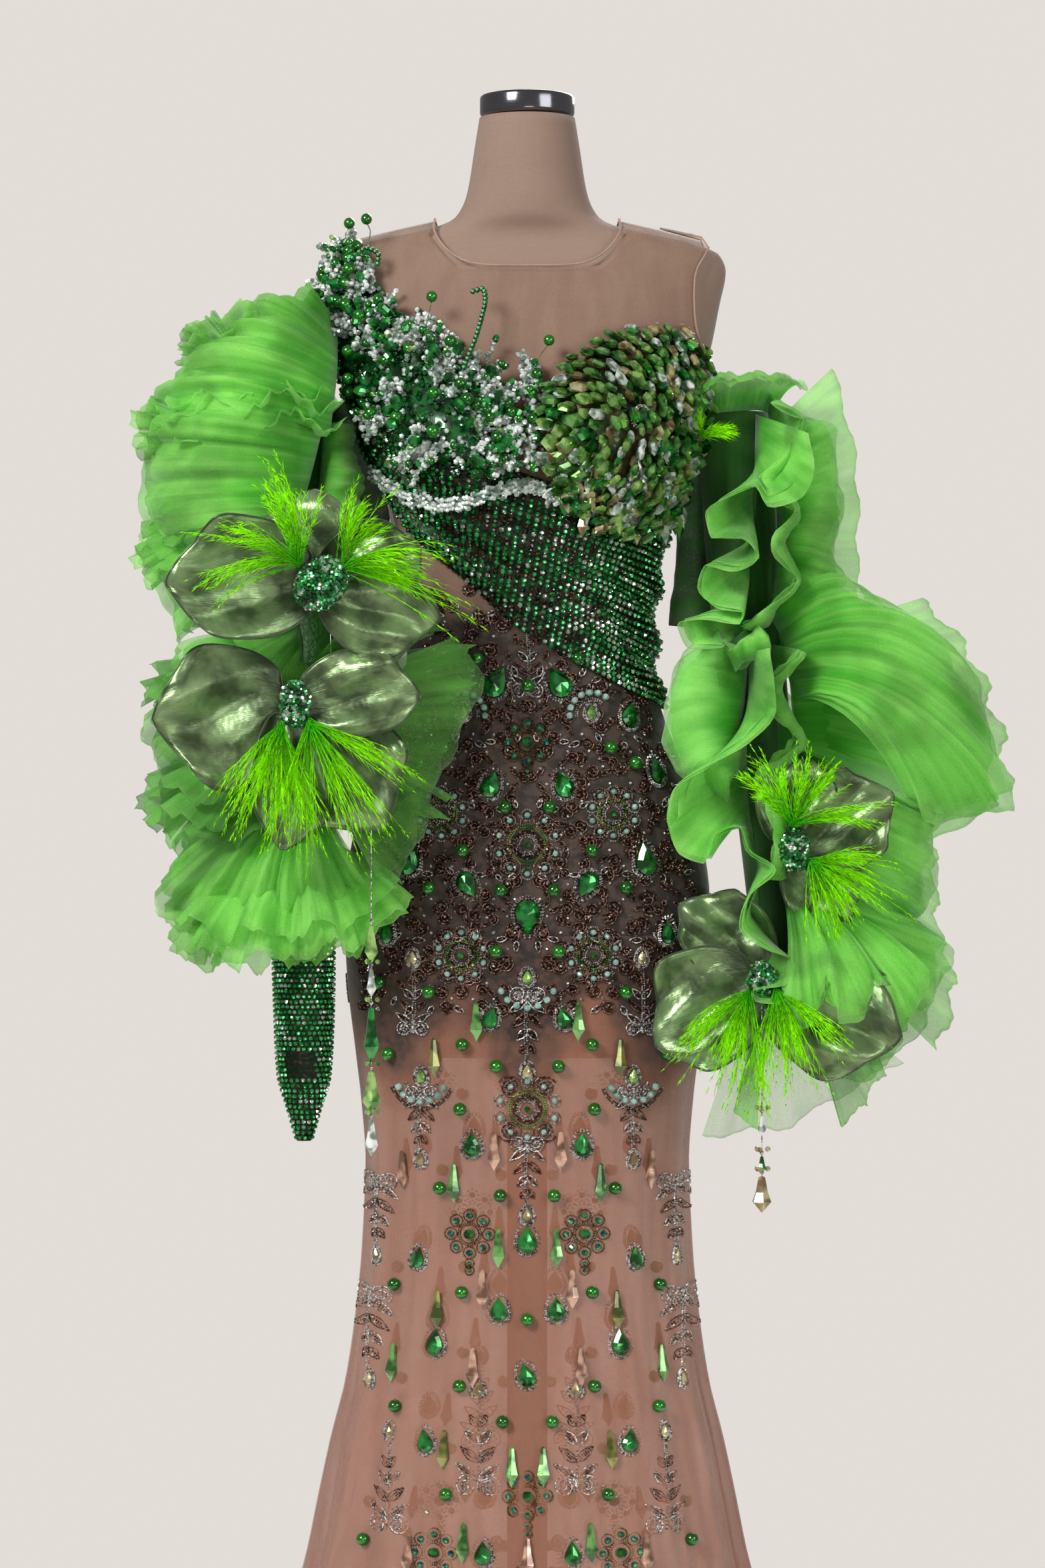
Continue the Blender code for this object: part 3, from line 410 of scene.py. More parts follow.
@dataclass(frozen=True)
class Satin(Finish):
    """Duchess satin with soft creases."""

    # light and deep run from a painted highlight to a painted shadow on the sage satin.
    light: tuple = tint(158, 188, 130)
    deep: tuple = tint(12, 30, 8)

    def nodes(self, bench: Bench) -> None:
        """Creases along the petal with painted shade in them, painted shade towards the root, fine warp lines
        and a broad silky gloss.
        """
        warp = bench.noise(bench.place("UV", (900, 6, 1)), 1.0, 2)
        crease_bump_and_shade = bench.noise(bench.place("UV", (26, 3, 1)), 1.0, 3)
        cloud = bench.noise(bench.place(), 30, 3)
        _, out, _ = bench.axes("UV")
        # Painted shade: darker in the creases and towards the petal's root, where the heart and feathers
        # shade it.
        tone = bench.between(crease_bump_and_shade * 0.8 + cloud * 0.2, 0.34, 0.62) * 0.62 + 0.14
        bench.surface(Base_Color=bench.mix(tone * (bench.between(out, 0.0, 0.45) * 0.65 + 0.35), self.deep,
                                           self.light),
                      Metallic=0.6, Roughness=warp * 0.1 + 0.24, Sheen_Weight=0.15, Anisotropic=0.4,
                      Normal=bench.bump(crease_bump_and_shade * 1.3 + warp * 0.1 + cloud * 0.4, 0.5, 0.005))


@dataclass(frozen=True)
class Feather(Finish):
    """Dyed ostrich, dark at the root and vivid at the tip."""

    tip: tuple = tint(156, 252, 6)
    root: tuple = tint(2, 150, 6)

    def nodes(self, bench: Bench) -> None:
        """Colour that fades from a dark root to a vivid tip along the strand."""
        _, along, _ = bench.axes("UV")
        mottle = bench.noise(bench.place(), 120, 2)
        colour = bench.mix(bench.math("ADD", bench.between(along, 0.0, 0.7) * 0.85, mottle * 0.2, clamp=True),
                           self.root, self.tip)
        # Painted glow: the strands emit a little of their own colour, though they are no lamp.
        bench.surface(Base_Color=colour, Roughness=0.7, Specular_IOR_Level=0.1, Emission_Color=colour,
                      Emission_Strength=0.1,
                      Normal=bench.bump(mottle, 0.2))


@dataclass(frozen=True)
class ChainCloth(Finish):
    """The metal mesh behind set stones."""

    colour: tuple = tint(22, 36, 18)
    light: tuple = tint(70, 50, 34)
    lined: float = 0.0

    def nodes(self, bench: Bench) -> None:
        """Rows of small cups with dark gaps."""
        cells = {"Vector": bench.place(), "Scale": 230.0}
        cups = bench.node("ShaderNodeTexVoronoi", {"feature": "F1"}, cells)
        glint = bench.between(bench.noise(bench.place(), 210, 2), 0.60, 0.68)
        _, _, z = bench.axes()
        under = bench.between(z, 0.86, 0.90) * self.lined
        bench.surface(Base_Color=bench.mix(under, bench.mix(glint, self.colour, self.light),
                                           tint(40, 96, 32)),
                      Metallic=(1 - under) * 0.7, Roughness=cups * 0.4 + 0.2,
                      Normal=bench.bump(cups, 0.7, 0.001))


@dataclass(frozen=True)
class Stone(Finish):
    """Foil-backed glass, pearl, seed bead or plated metal."""

    colour: tuple = (0.5, 0.5, 0.5, 1)
    other: tuple = (0.8, 0.8, 0.8, 1)
    metallic: float = 0.5
    roughness: float = 0.1
    coat: float = 0.6
    cell: float = 170.0

    def nodes(self, bench: Bench) -> None:
        """Each stone takes its own tone between two colours."""
        tone = bench.between(bench.noise(bench.place(), self.cell, 1), 0.36, 0.64)
        bench.surface(Base_Color=bench.mix(tone, self.colour, self.other), Metallic=self.metallic,
                      Roughness=tone * 0.06 + self.roughness, Coat_Weight=self.coat, Coat_Roughness=0.04,
                      Normal=bench.bump(bench.noise(bench.place(), 900, 1), 0.05))


LINEN = Linen("linen_cover", "linen")
CHROME = Metal("polished_chrome", "chrome", tint(118, 118, 124), 0.08)
STAND = Metal("stand_paint", "stand_metal", tint(92, 90, 94), 0.35, 0.6)
YOKE = NudeMesh("nude_mesh_body", "nude_mesh", 0.32, 1.0)
SKIRT_NET = NudeMesh("nude_mesh_skirt", "nude_mesh", 0.42, 1.0, tint(174, 116, 90))
EDGE = NudeMesh("nude_mesh_binding", "nude_mesh", 0.95, 0.0, tint(170, 138, 118))
TULLE = GreenTulle("green_tulle", "tulle")
# A darker copy of the tulle with painted shade, for the lower tiers under the flowers.
PAINTED_SHADE_TULLE = GreenTulle("shaded_green_tulle", "tulle", tint(136, 216, 96), tint(48, 124, 28), 0.5)
# Dark tulle that stands in for shadow: painted shadow on the left sleeve's tube and on sheets put where there
# is only shade.
PAINTED_SHADOW_TULLE = GreenTulle("green_lining", "tulle", tint(60, 120, 44), tint(26, 70, 22), 0.9)
SATIN = Satin("sage_satin", "satin")
PIPING = Satin("satin_piping", "satin", tint(112, 134, 92), tint(52, 70, 42))
VEIL = GreenTulle("sheer_green_tulle", "tulle", tint(150, 222, 110), tint(92, 182, 62), 0.24)
FEATHER = Feather("dyed_feather", "feather")
CHAIN = ChainCloth("chain_cloth", "chain_mesh")
LINED_CHAIN = ChainCloth("lined_chain_cloth", "chain_mesh", lined=1.0)
DEEP_GREEN = Stone("deep_green_stones", "chain_mesh", tint(12, 104, 42), tint(44, 158, 78), 0.75, 0.14)
BRIGHT_GREEN = Stone("bright_green_stones", "chain_mesh", tint(40, 160, 84), tint(110, 205, 140), 0.8, 0.1)
# White stones that stand in for glints: painted highlights, laid on the sash, the right sleeve and the flower
# hearts.
GLINT = Stone("glinting_stones", "chain_mesh", tint(190, 225, 200), tint(245, 250, 240), 0.9, 0.06)
CLEAR = Stone("clear_crystal", "clear_beads", tint(118, 138, 124), tint(240, 244, 240), 0.2, 0.06, 1.0, 130)
EMERALD = Stone("emerald_glass", "green_crystal", tint(2, 74, 18), tint(44, 158, 70), 0.65, 0.05, 1.0, 90)
LEAF_GLASS = Stone("leaf_glass", "green_crystal", tint(66, 128, 44), tint(168, 206, 116), 0.45, 0.05, 1.0, 90)
CUP_GROUND = Stone("cup_ground", "green_crystal", tint(38, 70, 26), tint(96, 78, 48), 0.3, 0.35, 0.3)
CHAMPAGNE = Stone("champagne_glass", "green_crystal", tint(136, 112, 76), tint(212, 200, 154), 0.5, 0.06,
                  1.0, 90)
PEACH = Stone("peach_glass", "clear_beads", tint(120, 84, 66), tint(214, 172, 146), 0.35, 0.06, 1.0, 90)
OLIVE = Stone("olive_glass", "green_crystal", tint(74, 86, 30), tint(150, 150, 78), 0.5, 0.06, 1.0, 90)
PEARL = Stone("green_pearl", "green_crystal", tint(12, 96, 12), tint(34, 130, 26), 0.6, 0.16, 1.0, 30)
MINT = Stone("mint_opal", "clear_beads", tint(112, 150, 138), tint(152, 186, 176), 0.0, 0.25, 0.6, 60)
BRONZE = Stone("bronze_seed_beads", "nude_mesh", tint(36, 20, 14), tint(112, 76, 62), 0.8, 0.2, 0.5, 300)
ROSE = Stone("rose_metal_cord", "nude_mesh", tint(68, 42, 32), tint(152, 114, 98), 0.85, 0.26, 0.2, 500)
# Pale beads that stand in for glints on the bronze work: painted highlights.
ROSE_GLINT = Stone("rose_cut_glass", "nude_mesh", tint(188, 166, 156), tint(246, 236, 230), 0.7, 0.08, 0.8, 400)
SILVER = Stone("silver_stones", "clear_beads", tint(92, 86, 80), tint(236, 232, 228), 0.5, 0.22, 0.5, 420)
GOLD = Stone("gold_setting", "clear_beads", tint(104, 84, 44), tint(176, 152, 92), 0.85, 0.24, 0.2, 400)
TEAL = Stone("teal_flash_glass", "green_crystal", tint(6, 84, 104), tint(84, 186, 122), 0.8, 0.05, 1.0, 260)
SMOKE = Stone("smoke_stones", "chain_mesh", tint(24, 18, 12), tint(74, 56, 38), 0.7, 0.14, 0.8)
WIRE_GREEN = Stone("green_wire_beads", "chain_mesh", tint(4, 60, 20), tint(14, 112, 44), 0.2, 0.4, 0.1, 140)
FERN = Stone("fern_glass", "green_crystal", tint(38, 92, 32), tint(120, 178, 96), 0.4, 0.06, 1.0, 90)
SHADOW_GREEN = Stone("green_seed_beads", "chain_mesh", tint(2, 44, 14), tint(8, 98, 36), 0.35, 0.24, 0.8, 140)


# The figure


@dataclass(frozen=True)
class Figure:
    """The shape that the form has and the cloth follows.

    Rows: height, half width, front, back, middle, roundness. Folds: height, depth.
    Bust: half distance, height, half width, half height, depth.
    """

    rows: tuple = (
        (8, 272, 205, 282, 0, 2.0), (60, 246, 186, 246, 0, 2.0), (120, 222, 165, 214, 0, 2.0),
        (203, 196, 141, 180, 0, 2.0), (268, 184, 127, 155, 0, 2.05), (320, 174, 116, 138, 0, 2.1),
        (376, 161, 106, 120, 0, 2.1), (437, 153, 100, 110, 0, 2.1), (500, 148, 96, 104, 0, 2.1),
        (580, 146, 94, 102, 0, 2.15), (640, 151, 96, 106, 0, 2.15), (686, 157, 98, 112, 0, 2.15),
        (760, 166, 102, 121, 0, 2.15), (830, 169, 104, 124, 0, 2.15), (900, 159, 102, 117, 0, 2.15),
        (960, 142, 97, 104, 0, 2.15), (1010, 123, 91, 92, 0, 2.15), (1060, 110, 87, 84, 0, 2.15),
        (1110, 111, 89, 85, 0, 2.15), (1160, 119, 93, 90, 0, 2.15), (1210, 131, 97, 97, 0, 2.2),
        (1260, 145, 99, 103, 0, 2.25), (1310, 158, 95, 107, 0, 2.3), (1345, 172, 88, 106, 0, 2.35),
        (1393, 182, 74, 92, 0, 2.35), (1425, 188, 59, 72, 0, 2.3), (1440, 182, 51, 60, 0, 2.2),
        (1451, 156, 47, 54, 0, 2.1), (1460, 112, 48, 54, -1, 2.0), (1466, 86, 52, 56, -2, 2.0),
        (1474, 69, 55, 56, -4, 2.0), (1490, 59, 54, 54, -8, 2.0), (1505, 55, 52, 52, -11, 2.0),
        (1536, 50, 49, 49, -17, 2.0), (1566, 45, 45, 45, -22, 2.0),
    )
    folds: tuple = (
        (8, 17), (120, 12.5), (203, 9.5), (320, 7), (437, 5.5), (580, 3.2), (700, 1.2), (800, 0.4),
    )
    hip_seam: float = 800.0
    mesh_wall: float = 1.5
    slack: float = 2.6
    bust: tuple = (76.0, 1262.0, 50.0, 58.0, 32.0)

    def point(self, degrees: Array | float, z: Array | float) -> Array:
        """Points at an angle round the body, 0 at the left side and -90 in front, and a height."""
        angle, z = np.broadcast_arrays(np.radians(np.asarray(degrees, float)), np.asarray(z, float))
        width, front, back, middle, roundness = (eased(self.rows, k, z) for k in range(1, 6))
        c, s = np.cos(angle), np.sin(angle)
        x = width * np.sign(c) * np.abs(c) ** (2 / roundness)
        y = middle + np.where(s < 0, front, back) * np.sign(s) * np.abs(s) ** (2 / roundness)
        apart, height, wide, tall, depth = self.bust
        for side in (-1, 1):
            away = ((x - side * apart) / wide) ** 2 + ((z - height) / tall) ** 2
            y = y - depth * np.exp(-away) * np.clip(-s, 0, 1) ** 0.5
        return np.stack([x, y, z], axis=-1)

    def skin(self, degrees: Array | float, z: Array | float, out: Array | float) -> Array:
        """Points moved out along the figure's own normal."""
        degrees, z, out = np.broadcast_arrays(*(np.asarray(v, float) for v in (degrees, z, out)))
        round_it = self.point(degrees + 0.4, z) - self.point(degrees - 0.4, z)
        up_it = self.point(degrees, z + 0.4) - self.point(degrees, z - 0.4)
        return self.point(degrees, z) + unit(np.cross(round_it, up_it)) * out[..., None]

    def ease(self, z: Array | float) -> Array:
        """How far the cloth stands off the form."""
        return self.slack + 1.8 * np.clip((np.asarray(z, float) - 1290) / 40, 0, 1)

    def skirt_folds(self, degrees: Array, z: Array | float) -> Array:
        """How far the skirt's soft folds stand out."""
        turn = np.radians(degrees)
        wave = np.cos(14 * turn + 0.7 * np.sin(3 * turn) + 0.4)
        return eased(self.folds, 1, z) * (0.5 + 0.5 * wave) * (0.72 + 0.28 * np.sin(2 * turn + 1.1))

    def cloth(self, degrees: Array, z: Array) -> Array:
        """How far the dress's own surface stands off the form."""
        skirt = self.slack + self.skirt_folds(degrees, z)
        return np.where(np.asarray(z) < self.hip_seam, skirt, self.ease(z)) + self.mesh_wall

    def angle_at(self, x: Array, z: Array, back: bool = False) -> Array:
        """The angle at which the front or back half passes x at height z."""
        share = np.clip(np.abs(x) / eased(self.rows, 1, z), 0, 0.9995)
        from_side = np.degrees(np.arccos(share ** (eased(self.rows, 5, z) / 2)))
        front = np.where(np.asarray(x) > 0, -from_side, -180 + from_side)
        return -front if back else front

    def seats(self, degrees: Array, z: Array, out: Array | float) -> tuple[Array, Array]:
        """Places on the figure with their frames.

        Args:
            degrees: Angles round the body.
            z: Heights.
            out: Distance off the form.

        Returns:
            Points, and matrices whose columns are across, up and outwards.
        """
        across = unit(self.skin(degrees + 0.5, z, out) - self.skin(degrees - 0.5, z, out))
        up = unit(self.skin(degrees, z + 0.5, out) - self.skin(degrees, z - 0.5, out))
        normal = unit(np.cross(across, up))
        return self.skin(degrees, z, out), np.stack([across, np.cross(normal, across), normal], axis=-1)


FIGURE = Figure()


def spun(frames: Array, turn: Array | float) -> Array:
    """Frames turned about their own outward axis, in radians."""
    turn = np.broadcast_to(np.asarray(turn, float), frames.shape[:-2])[..., None]
    across, up = frames[..., 0], frames[..., 1]
    return np.stack([np.cos(turn) * across + np.sin(turn) * up, np.cos(turn) * up - np.sin(turn) * across,
                     frames[..., 2]], axis=-1)


def frames_to(outward: Array, up: Array) -> Array:
    """Frames whose third axis is outward and whose second is nearest to up."""
    outward = unit(outward)
    across = unit(np.cross(np.broadcast_to(up, outward.shape), outward))
    return np.stack([across, np.cross(outward, across), outward], axis=-1)


# Making pieces


def finished(piece: Piece, nodes: Sequence[str] = ()) -> Piece:
    """Lets a piece ride and the CAD nodes that it stands for."""
    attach(piece, "root")
    if nodes:
        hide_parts(*nodes)
    LOG.info("%s: %d faces", piece.name, len(piece.data.polygons))
    return piece


def mesh_of(name: str, corners: Array, loops: Array, sizes: Array, materials: Sequence[bpy.types.Material],
            which: Array | None = None, smooth: Array | bool = True, uv: Array | None = None) -> Piece:
    """Builds an object from arrays.

    Args:
        name: The piece's name.
        corners: Points in millimetres.
        loops: Corner numbers of all faces in a row.
        sizes: How many corners each face has.
        materials: The piece's materials.
        which: Each face's material number.
        smooth: Whether the faces are shaded smooth.
        uv: Flat coordinates of each loop.

    Returns:
        The object, in the scene.
    """
    mesh = bpy.data.meshes.new(name)
    mesh.vertices.add(len(corners))
    mesh.vertices.foreach_set("co", (np.asarray(corners) * MM).astype(np.float32).ravel())
    mesh.loops.add(len(loops))
    mesh.loops.foreach_set("vertex_index", np.asarray(loops, np.int32))
    mesh.polygons.add(len(sizes))
    starts = np.concatenate([[0], np.cumsum(sizes)[:-1]]).astype(np.int32)
    mesh.polygons.foreach_set("loop_start", starts)
    mesh.polygons.foreach_set("use_smooth", np.broadcast_to(smooth, len(sizes)).astype(bool))
    for material in materials:
        mesh.materials.append(material)
    if which is not None:
        mesh.polygons.foreach_set("material_index", np.asarray(which, np.int32))
    if uv is not None:
        mesh.uv_layers.new(name="cut").data.foreach_set("uv", np.asarray(uv, np.float32).ravel())
    mesh.update(calc_edges=True)
    mesh.validate()
    piece = bpy.data.objects.new(name, mesh)
    bpy.context.scene.collection.objects.link(piece)
    return piece


def only(piece: Piece) -> None:
    """Selects one piece alone."""
    bpy.ops.object.select_all(action="DESELECT")
    piece.select_set(True)
    bpy.context.view_layer.objects.active = piece


def with_modifier(piece: Piece, kind: str, **settings: object) -> None:
    """Adds a modifier and applies it."""
    only(piece)
    modifier = piece.modifiers.new(kind.lower(), kind)
    for key, value in settings.items():
        setattr(modifier, key, value)
    bpy.ops.object.modifier_apply(modifier=modifier.name)


@dataclass
class Cloth:
    """A sheet through a grid of points, rows from its root to its free edge."""

    name: str
    grid: Array
    finish: Finish
    nodes: tuple = ()
    held: str = "hung"
    rests_on: tuple = ()
    wall: float = 0.7
    closed: bool = False

    def cut(self) -> tuple[float, float, float]:
        """Width, length and area of the flat cut in metres, measured along the cloth."""
        ring = np.concatenate([self.grid, self.grid[:, :1]], axis=1) if self.closed else self.grid
        widths = np.linalg.norm(np.diff(ring, axis=1), axis=-1).sum(axis=1) * MM
        length = float(np.linalg.norm(np.diff(self.grid, axis=0), axis=-1).sum(axis=0).mean()) * MM
        across = (ring[1:, 1:] - ring[:-1, :-1]) * MM
        area = 0.5 * float(np.linalg.norm(np.cross(across, (ring[1:, :-1] - ring[:-1, 1:]) * MM),
                                          axis=-1).sum())
        return round(float(widths.max()), 3), round(length, 3), area

    def make(self) -> Piece:
        rows, cols = self.grid.shape[:2]
        i, j = np.meshgrid(np.arange(rows - 1), np.arange(cols if self.closed else cols - 1), indexing="ij")
        right = (j + 1) % cols
        quads = np.stack([i * cols + j, i * cols + right, (i + 1) * cols + right, (i + 1) * cols + j],
                         axis=-1)
        width, length, area = self.cut()
        u = np.stack([j, j + 1, j + 1, j], axis=-1) * width / max(1, cols - 1)
        v = np.stack([i, i, i + 1, i + 1], axis=-1) / (rows - 1)
        piece = mesh_of(self.name, self.grid.reshape(-1, 3), quads.ravel(),
                        np.full(quads.shape[0] * quads.shape[1], 4),
                        [self.finish.material()], uv=np.stack([u, v], axis=-1).reshape(-1, 2))
        with_modifier(piece, "SOLIDIFY", thickness=self.wall * MM, offset=0.0)
        finished(piece, self.nodes)
        LOG.info("%s: cut %.2f x %.2f m, %.3f square metres", self.name, width, length, area)
        return piece


def tube_grid(path: Array, radius: Array | float, sides: int = 8, closed: bool = False) -> Array:
    """Rings of points round an open or closed path."""
    if closed:
        tangent = unit(np.roll(path, -1, axis=0) - np.roll(path, 1, axis=0))
        side = unit(np.cross(tangent, path - path.mean(axis=0)))
    else:
        tangent = unit(np.gradient(path, axis=0))
        side = unit(np.cross(tangent, np.array([0.13, -0.31, 0.94])))
    angles = np.arange(sides)[:, None] * 2 * math.pi / sides * (-1 if closed else 1)
    around = np.cos(angles) * side[:, None] + np.sin(angles) * np.cross(side, tangent)[:, None]
    return path[:, None] + np.broadcast_to(radius, len(path))[:, None, None] * around


def stacked(name: str, rings: Array, finish: Finish, nodes: Sequence[str] = (), loop: bool = False) -> Piece:
    """A closed body through rings of points.

    Args:
        name: The piece's name.
        rings: Points, ring by ring.
        finish: Its finish.
        nodes: CAD nodes that it stands for.
        loop: Whether the last ring meets the first; otherwise both ends are capped.

    Returns:
        The piece.
    """
    corners, loops, sizes = stack_arrays(rings, loop)
    piece = mesh_of(name, corners, loops, sizes, [finish.material()])
    return finished(piece, nodes)


def stack_arrays(rings: Array, loop: bool = False) -> tuple[Array, Array, Array]:
    """Corners, loops and face sizes of a body through rings."""
    count, sides = rings.shape[:2]
    i, j = np.meshgrid(np.arange(count if loop else count - 1), np.arange(sides), indexing="ij")
    k, up = (j + 1) % sides, (i + 1) % count
    quads = np.stack([i * sides + j, i * sides + k, up * sides + k, up * sides + j], axis=-1).reshape(-1, 4)
    corners, loops, sizes = rings.reshape(-1, 3), [quads.ravel()], [np.full(len(quads), 4)]
    if not loop:
        ends = np.stack([rings[0].mean(axis=0), rings[-1].mean(axis=0)])
        ring = np.arange(sides)
        after, last = (ring + 1) % sides, (count - 1) * sides
        foot = np.stack([after, ring, np.full(sides, len(corners))], axis=-1)
        top = np.stack([last + ring, last + after, np.full(sides, len(corners) + 1)], axis=-1)
        corners = np.concatenate([corners, ends])
        loops += [foot.ravel(), top.ravel()]
        sizes += [np.full(2 * sides, 3)]
    return corners, np.concatenate(loops), np.concatenate(sizes)


# Stones


class Cut(Enum):
    """Shapes that stones and beads are made in."""

    SEED = "seed"
    GRAIN = "grain"
    PEARL = "pearl"
    CHATON = "chaton"
    PEAR = "pear"
    LEAF = "leaf"
    OVAL = "oval"
    LONG = "long"


@dataclass
class Shape:
    """One modelled stone: corners in units of its half size, faces in a row."""

    corners: Array
    loops: Array
    sizes: Array
    smooth: bool


class Jeweller:
    """Models each cut once with the usual tools, tip along +Y and face along +Z."""

    def __init__(self) -> None:
        """Starts with no cuts made."""
        self.made: dict[Cut, Shape] = {}

    def shape(self, cut: Cut) -> Shape:
        """The modelled cut."""
        if cut not in self.made:
            makers = {
                Cut.SEED: self._seed, Cut.GRAIN: self._grain, Cut.PEARL: self._pearl,
                Cut.CHATON: self._chaton, Cut.PEAR: self._pear, Cut.LEAF: self._leaf,
                Cut.OVAL: self._oval, Cut.LONG: self._long,
            }
            self.made[cut] = makers[cut]()
        return self.made[cut]

    @property
    def stone(self) -> Piece:
        """The stone in work."""
        return bpy.context.view_layer.objects.active

    def _apply(self) -> None:
        """Applies the stone's place."""
        only(self.stone)
        bpy.ops.object.transform_apply(location=True, rotation=True, scale=True)

    def _taken(self, smooth: bool = False) -> Shape:
        """Reads the stone's mesh and clears it away.

        Blender numbers a sphere's faces in another order on each run, so they are sorted.
        """
        self._apply()
        corners = np.array([v.co for v in self.stone.data.vertices])
        faces = [list(face.vertices) for face in self.stone.data.polygons]
        faces = sorted(face[face.index(min(face)):] + face[:face.index(min(face))] for face in faces)
        bpy.data.objects.remove(self.stone)
        return Shape(corners, np.concatenate(faces), np.array([len(face) for face in faces]), smooth)

    def _shaped(self, kind: str, test: Callable, act: Callable) -> None:
        """Selects corners or faces of the stone by a test and acts on them in edit mode."""
        stone = self.stone
        bpy.ops.object.mode_set(mode="EDIT")
        bpy.ops.mesh.select_mode(type=kind)
        bpy.ops.mesh.select_all(action="DESELECT")
        bpy.ops.object.mode_set(mode="OBJECT")
        for part in stone.data.vertices if kind == "VERT" else stone.data.polygons:
            part.select = bool(test(part))
        bpy.ops.object.mode_set(mode="EDIT")
        act()
        bpy.ops.object.mode_set(mode="OBJECT")

    def _start(self, maker: Callable, **sizes: object) -> None:
        """Adds a primitive alone in the selection."""
        bpy.ops.object.select_all(action="DESELECT")
        maker(**sizes)

    def _ball(self, segments: int, rings: int) -> None:
        """Starts a ball whose poles lie along the stone's length."""
        self._start(bpy.ops.mesh.primitive_uv_sphere_add, segments=segments, ring_count=rings, radius=1,
                    rotation=(math.pi / 2, 0, 0))

    def _seed(self) -> Shape:
        """A round seed bead."""
        self._start(bpy.ops.mesh.primitive_ico_sphere_add, subdivisions=1, radius=1)
        return self._taken()

    def _grain(self) -> Shape:
        """A tiny cut bead of the embroidery."""
        self._start(bpy.ops.mesh.primitive_cone_add, vertices=3, radius1=1.15, radius2=0, depth=1.3,
                    location=(0, 0, 0.65))
        return self._taken()

    def _pearl(self) -> Shape:
        """A round pearl."""
        self._start(bpy.ops.mesh.primitive_uv_sphere_add, segments=10, ring_count=7, radius=1)
        return self._taken(True)

    def _chaton(self) -> Shape:
        """A small cut stone with a flat table."""
        self._start(bpy.ops.mesh.primitive_cone_add, vertices=6, radius1=1, radius2=0.5, depth=0.7,
                    location=(0, 0, 0.35))
        return self._taken()

    def _pear(self) -> Shape:
        """A pear-cut stone: a girdle drawn out to a tip, with a raised table."""
        self._start(bpy.ops.mesh.primitive_cylinder_add, vertices=12, radius=1, depth=0.3,
                    location=(0, 0, 0.15))
        self._shaped("VERT", lambda v: v.co.y > 0.95, lambda: bpy.ops.transform.translate(value=(0, 0.85, 0)))
        self._shaped("VERT", lambda v: 0.8 < v.co.y < 1.0,
                     lambda: bpy.ops.transform.translate(value=(0, 0.3, 0)))
        self._shaped("FACE", lambda f: f.normal.z > 0.9, lambda: (
            bpy.ops.mesh.inset(thickness=0.36, depth=0.34), bpy.ops.mesh.poke(offset=0.2)))
        return self._taken()

    def _leaf(self) -> Shape:
        """A flat marquise with facets."""
        self._ball(6, 4)
        self.stone.scale = (0.5, 1, 0.3)
        self._apply()
        self._shaped("VERT", lambda v: v.co.y > 0.9, lambda: bpy.ops.transform.translate(value=(0, 0.3, 0)))
        return self._taken()

    def _oval(self) -> Shape:
        """A faceted oval bead."""
        self._ball(7, 5)
        self.stone.scale = (0.72, 1, 0.62)
        return self._taken()

    def _long(self) -> Shape:
        """A long hanging drop, hung from its narrow end at the origin and widest near its point."""
        self._ball(6, 4)
        self._apply()
        for low, high, wide, up in ((0.5, 0.9, 0.5, 0.2), (-0.1, 0.1, 0.66, 0.1), (-0.9, -0.5, 1.42, 0.3)):
            self._shaped("VERT", lambda v, low=low, high=high: low < v.co.y < high, lambda wide=wide, up=up: (
                bpy.ops.transform.resize(value=(wide, 1, wide)),
                bpy.ops.transform.translate(value=(0, up, 0))))
        self.stone.scale = (0.25, 1, 0.18)
        self._apply()
        self.stone.location = (0, -1, 0)
        return self._taken()


JEWELLER = Jeweller()


class Tray:
    """Stones laid out for one piece, joined into one mesh when they are sewn on."""

    def __init__(self, name: str) -> None:
        """Starts an empty tray."""
        self.name = name
        self.finishes: list[Finish] = []
        self.parts: list[tuple[Array, Array, Array, int, bool]] = []

    def lay(self, cut: Cut, finish: Finish, places: Array, frames: Array,
            size: Array | float | Sequence[float]) -> None:
        """Lays copies of one cut.

        Args:
            cut: The stone's cut.
            finish: Its finish.
            places: Where each sits, in millimetres.
            frames: Matrices with the columns across, tip and face.
            size: Half size in millimetres: one number, one for each stone, or three for each.
        """
        places = np.asarray(places, float).reshape(-1, 3)
        if not len(places):
            return
        frames = np.broadcast_to(frames, (len(places), 3, 3))
        size = np.asarray(size, float)
        if size.ndim == 1 and len(size) == len(places) and len(places) != 3:
            size = size[:, None] * np.ones(3)
        size = np.broadcast_to(size, (len(places), 3))
        shape = JEWELLER.shape(cut)
        corners = np.einsum("nij,nkj->nki", frames, shape.corners[None] * size[:, None]) + places[:, None]
        loops = (shape.loops[None] + np.arange(len(places))[:, None] * len(shape.corners)).ravel()
        self.body(corners.reshape(-1, 3), loops, np.tile(shape.sizes, len(places)), finish, shape.smooth)

    def body(self, corners: Array, loops: Array, sizes: Array, finish: Finish, smooth: bool = True) -> None:
        """Adds stones, or a wire, cup or stem that carries them."""
        if finish not in self.finishes:
            self.finishes.append(finish)
        self.parts.append((corners, loops, sizes, self.finishes.index(finish), smooth))

    def sewn(self, nodes: Sequence[str] = ()) -> Piece:
        """Joins the stones into one piece."""
        offset, corners, loops, which, smooth = 0, [], [], [], []
        for points, numbers, sizes, finish, soft in self.parts:
            corners.append(points)
            loops.append(numbers + offset)
            offset += len(points)
            which.append(np.full(len(sizes), finish))
            smooth.append(np.full(len(sizes), soft))
        piece = mesh_of(self.name, np.concatenate(corners), np.concatenate(loops),
                        np.concatenate([part[2] for part in self.parts]),
                        [f.material() for f in self.finishes],
                        np.concatenate(which), np.concatenate(smooth))
        return finished(piece, nodes)


# The form and the body of the dress


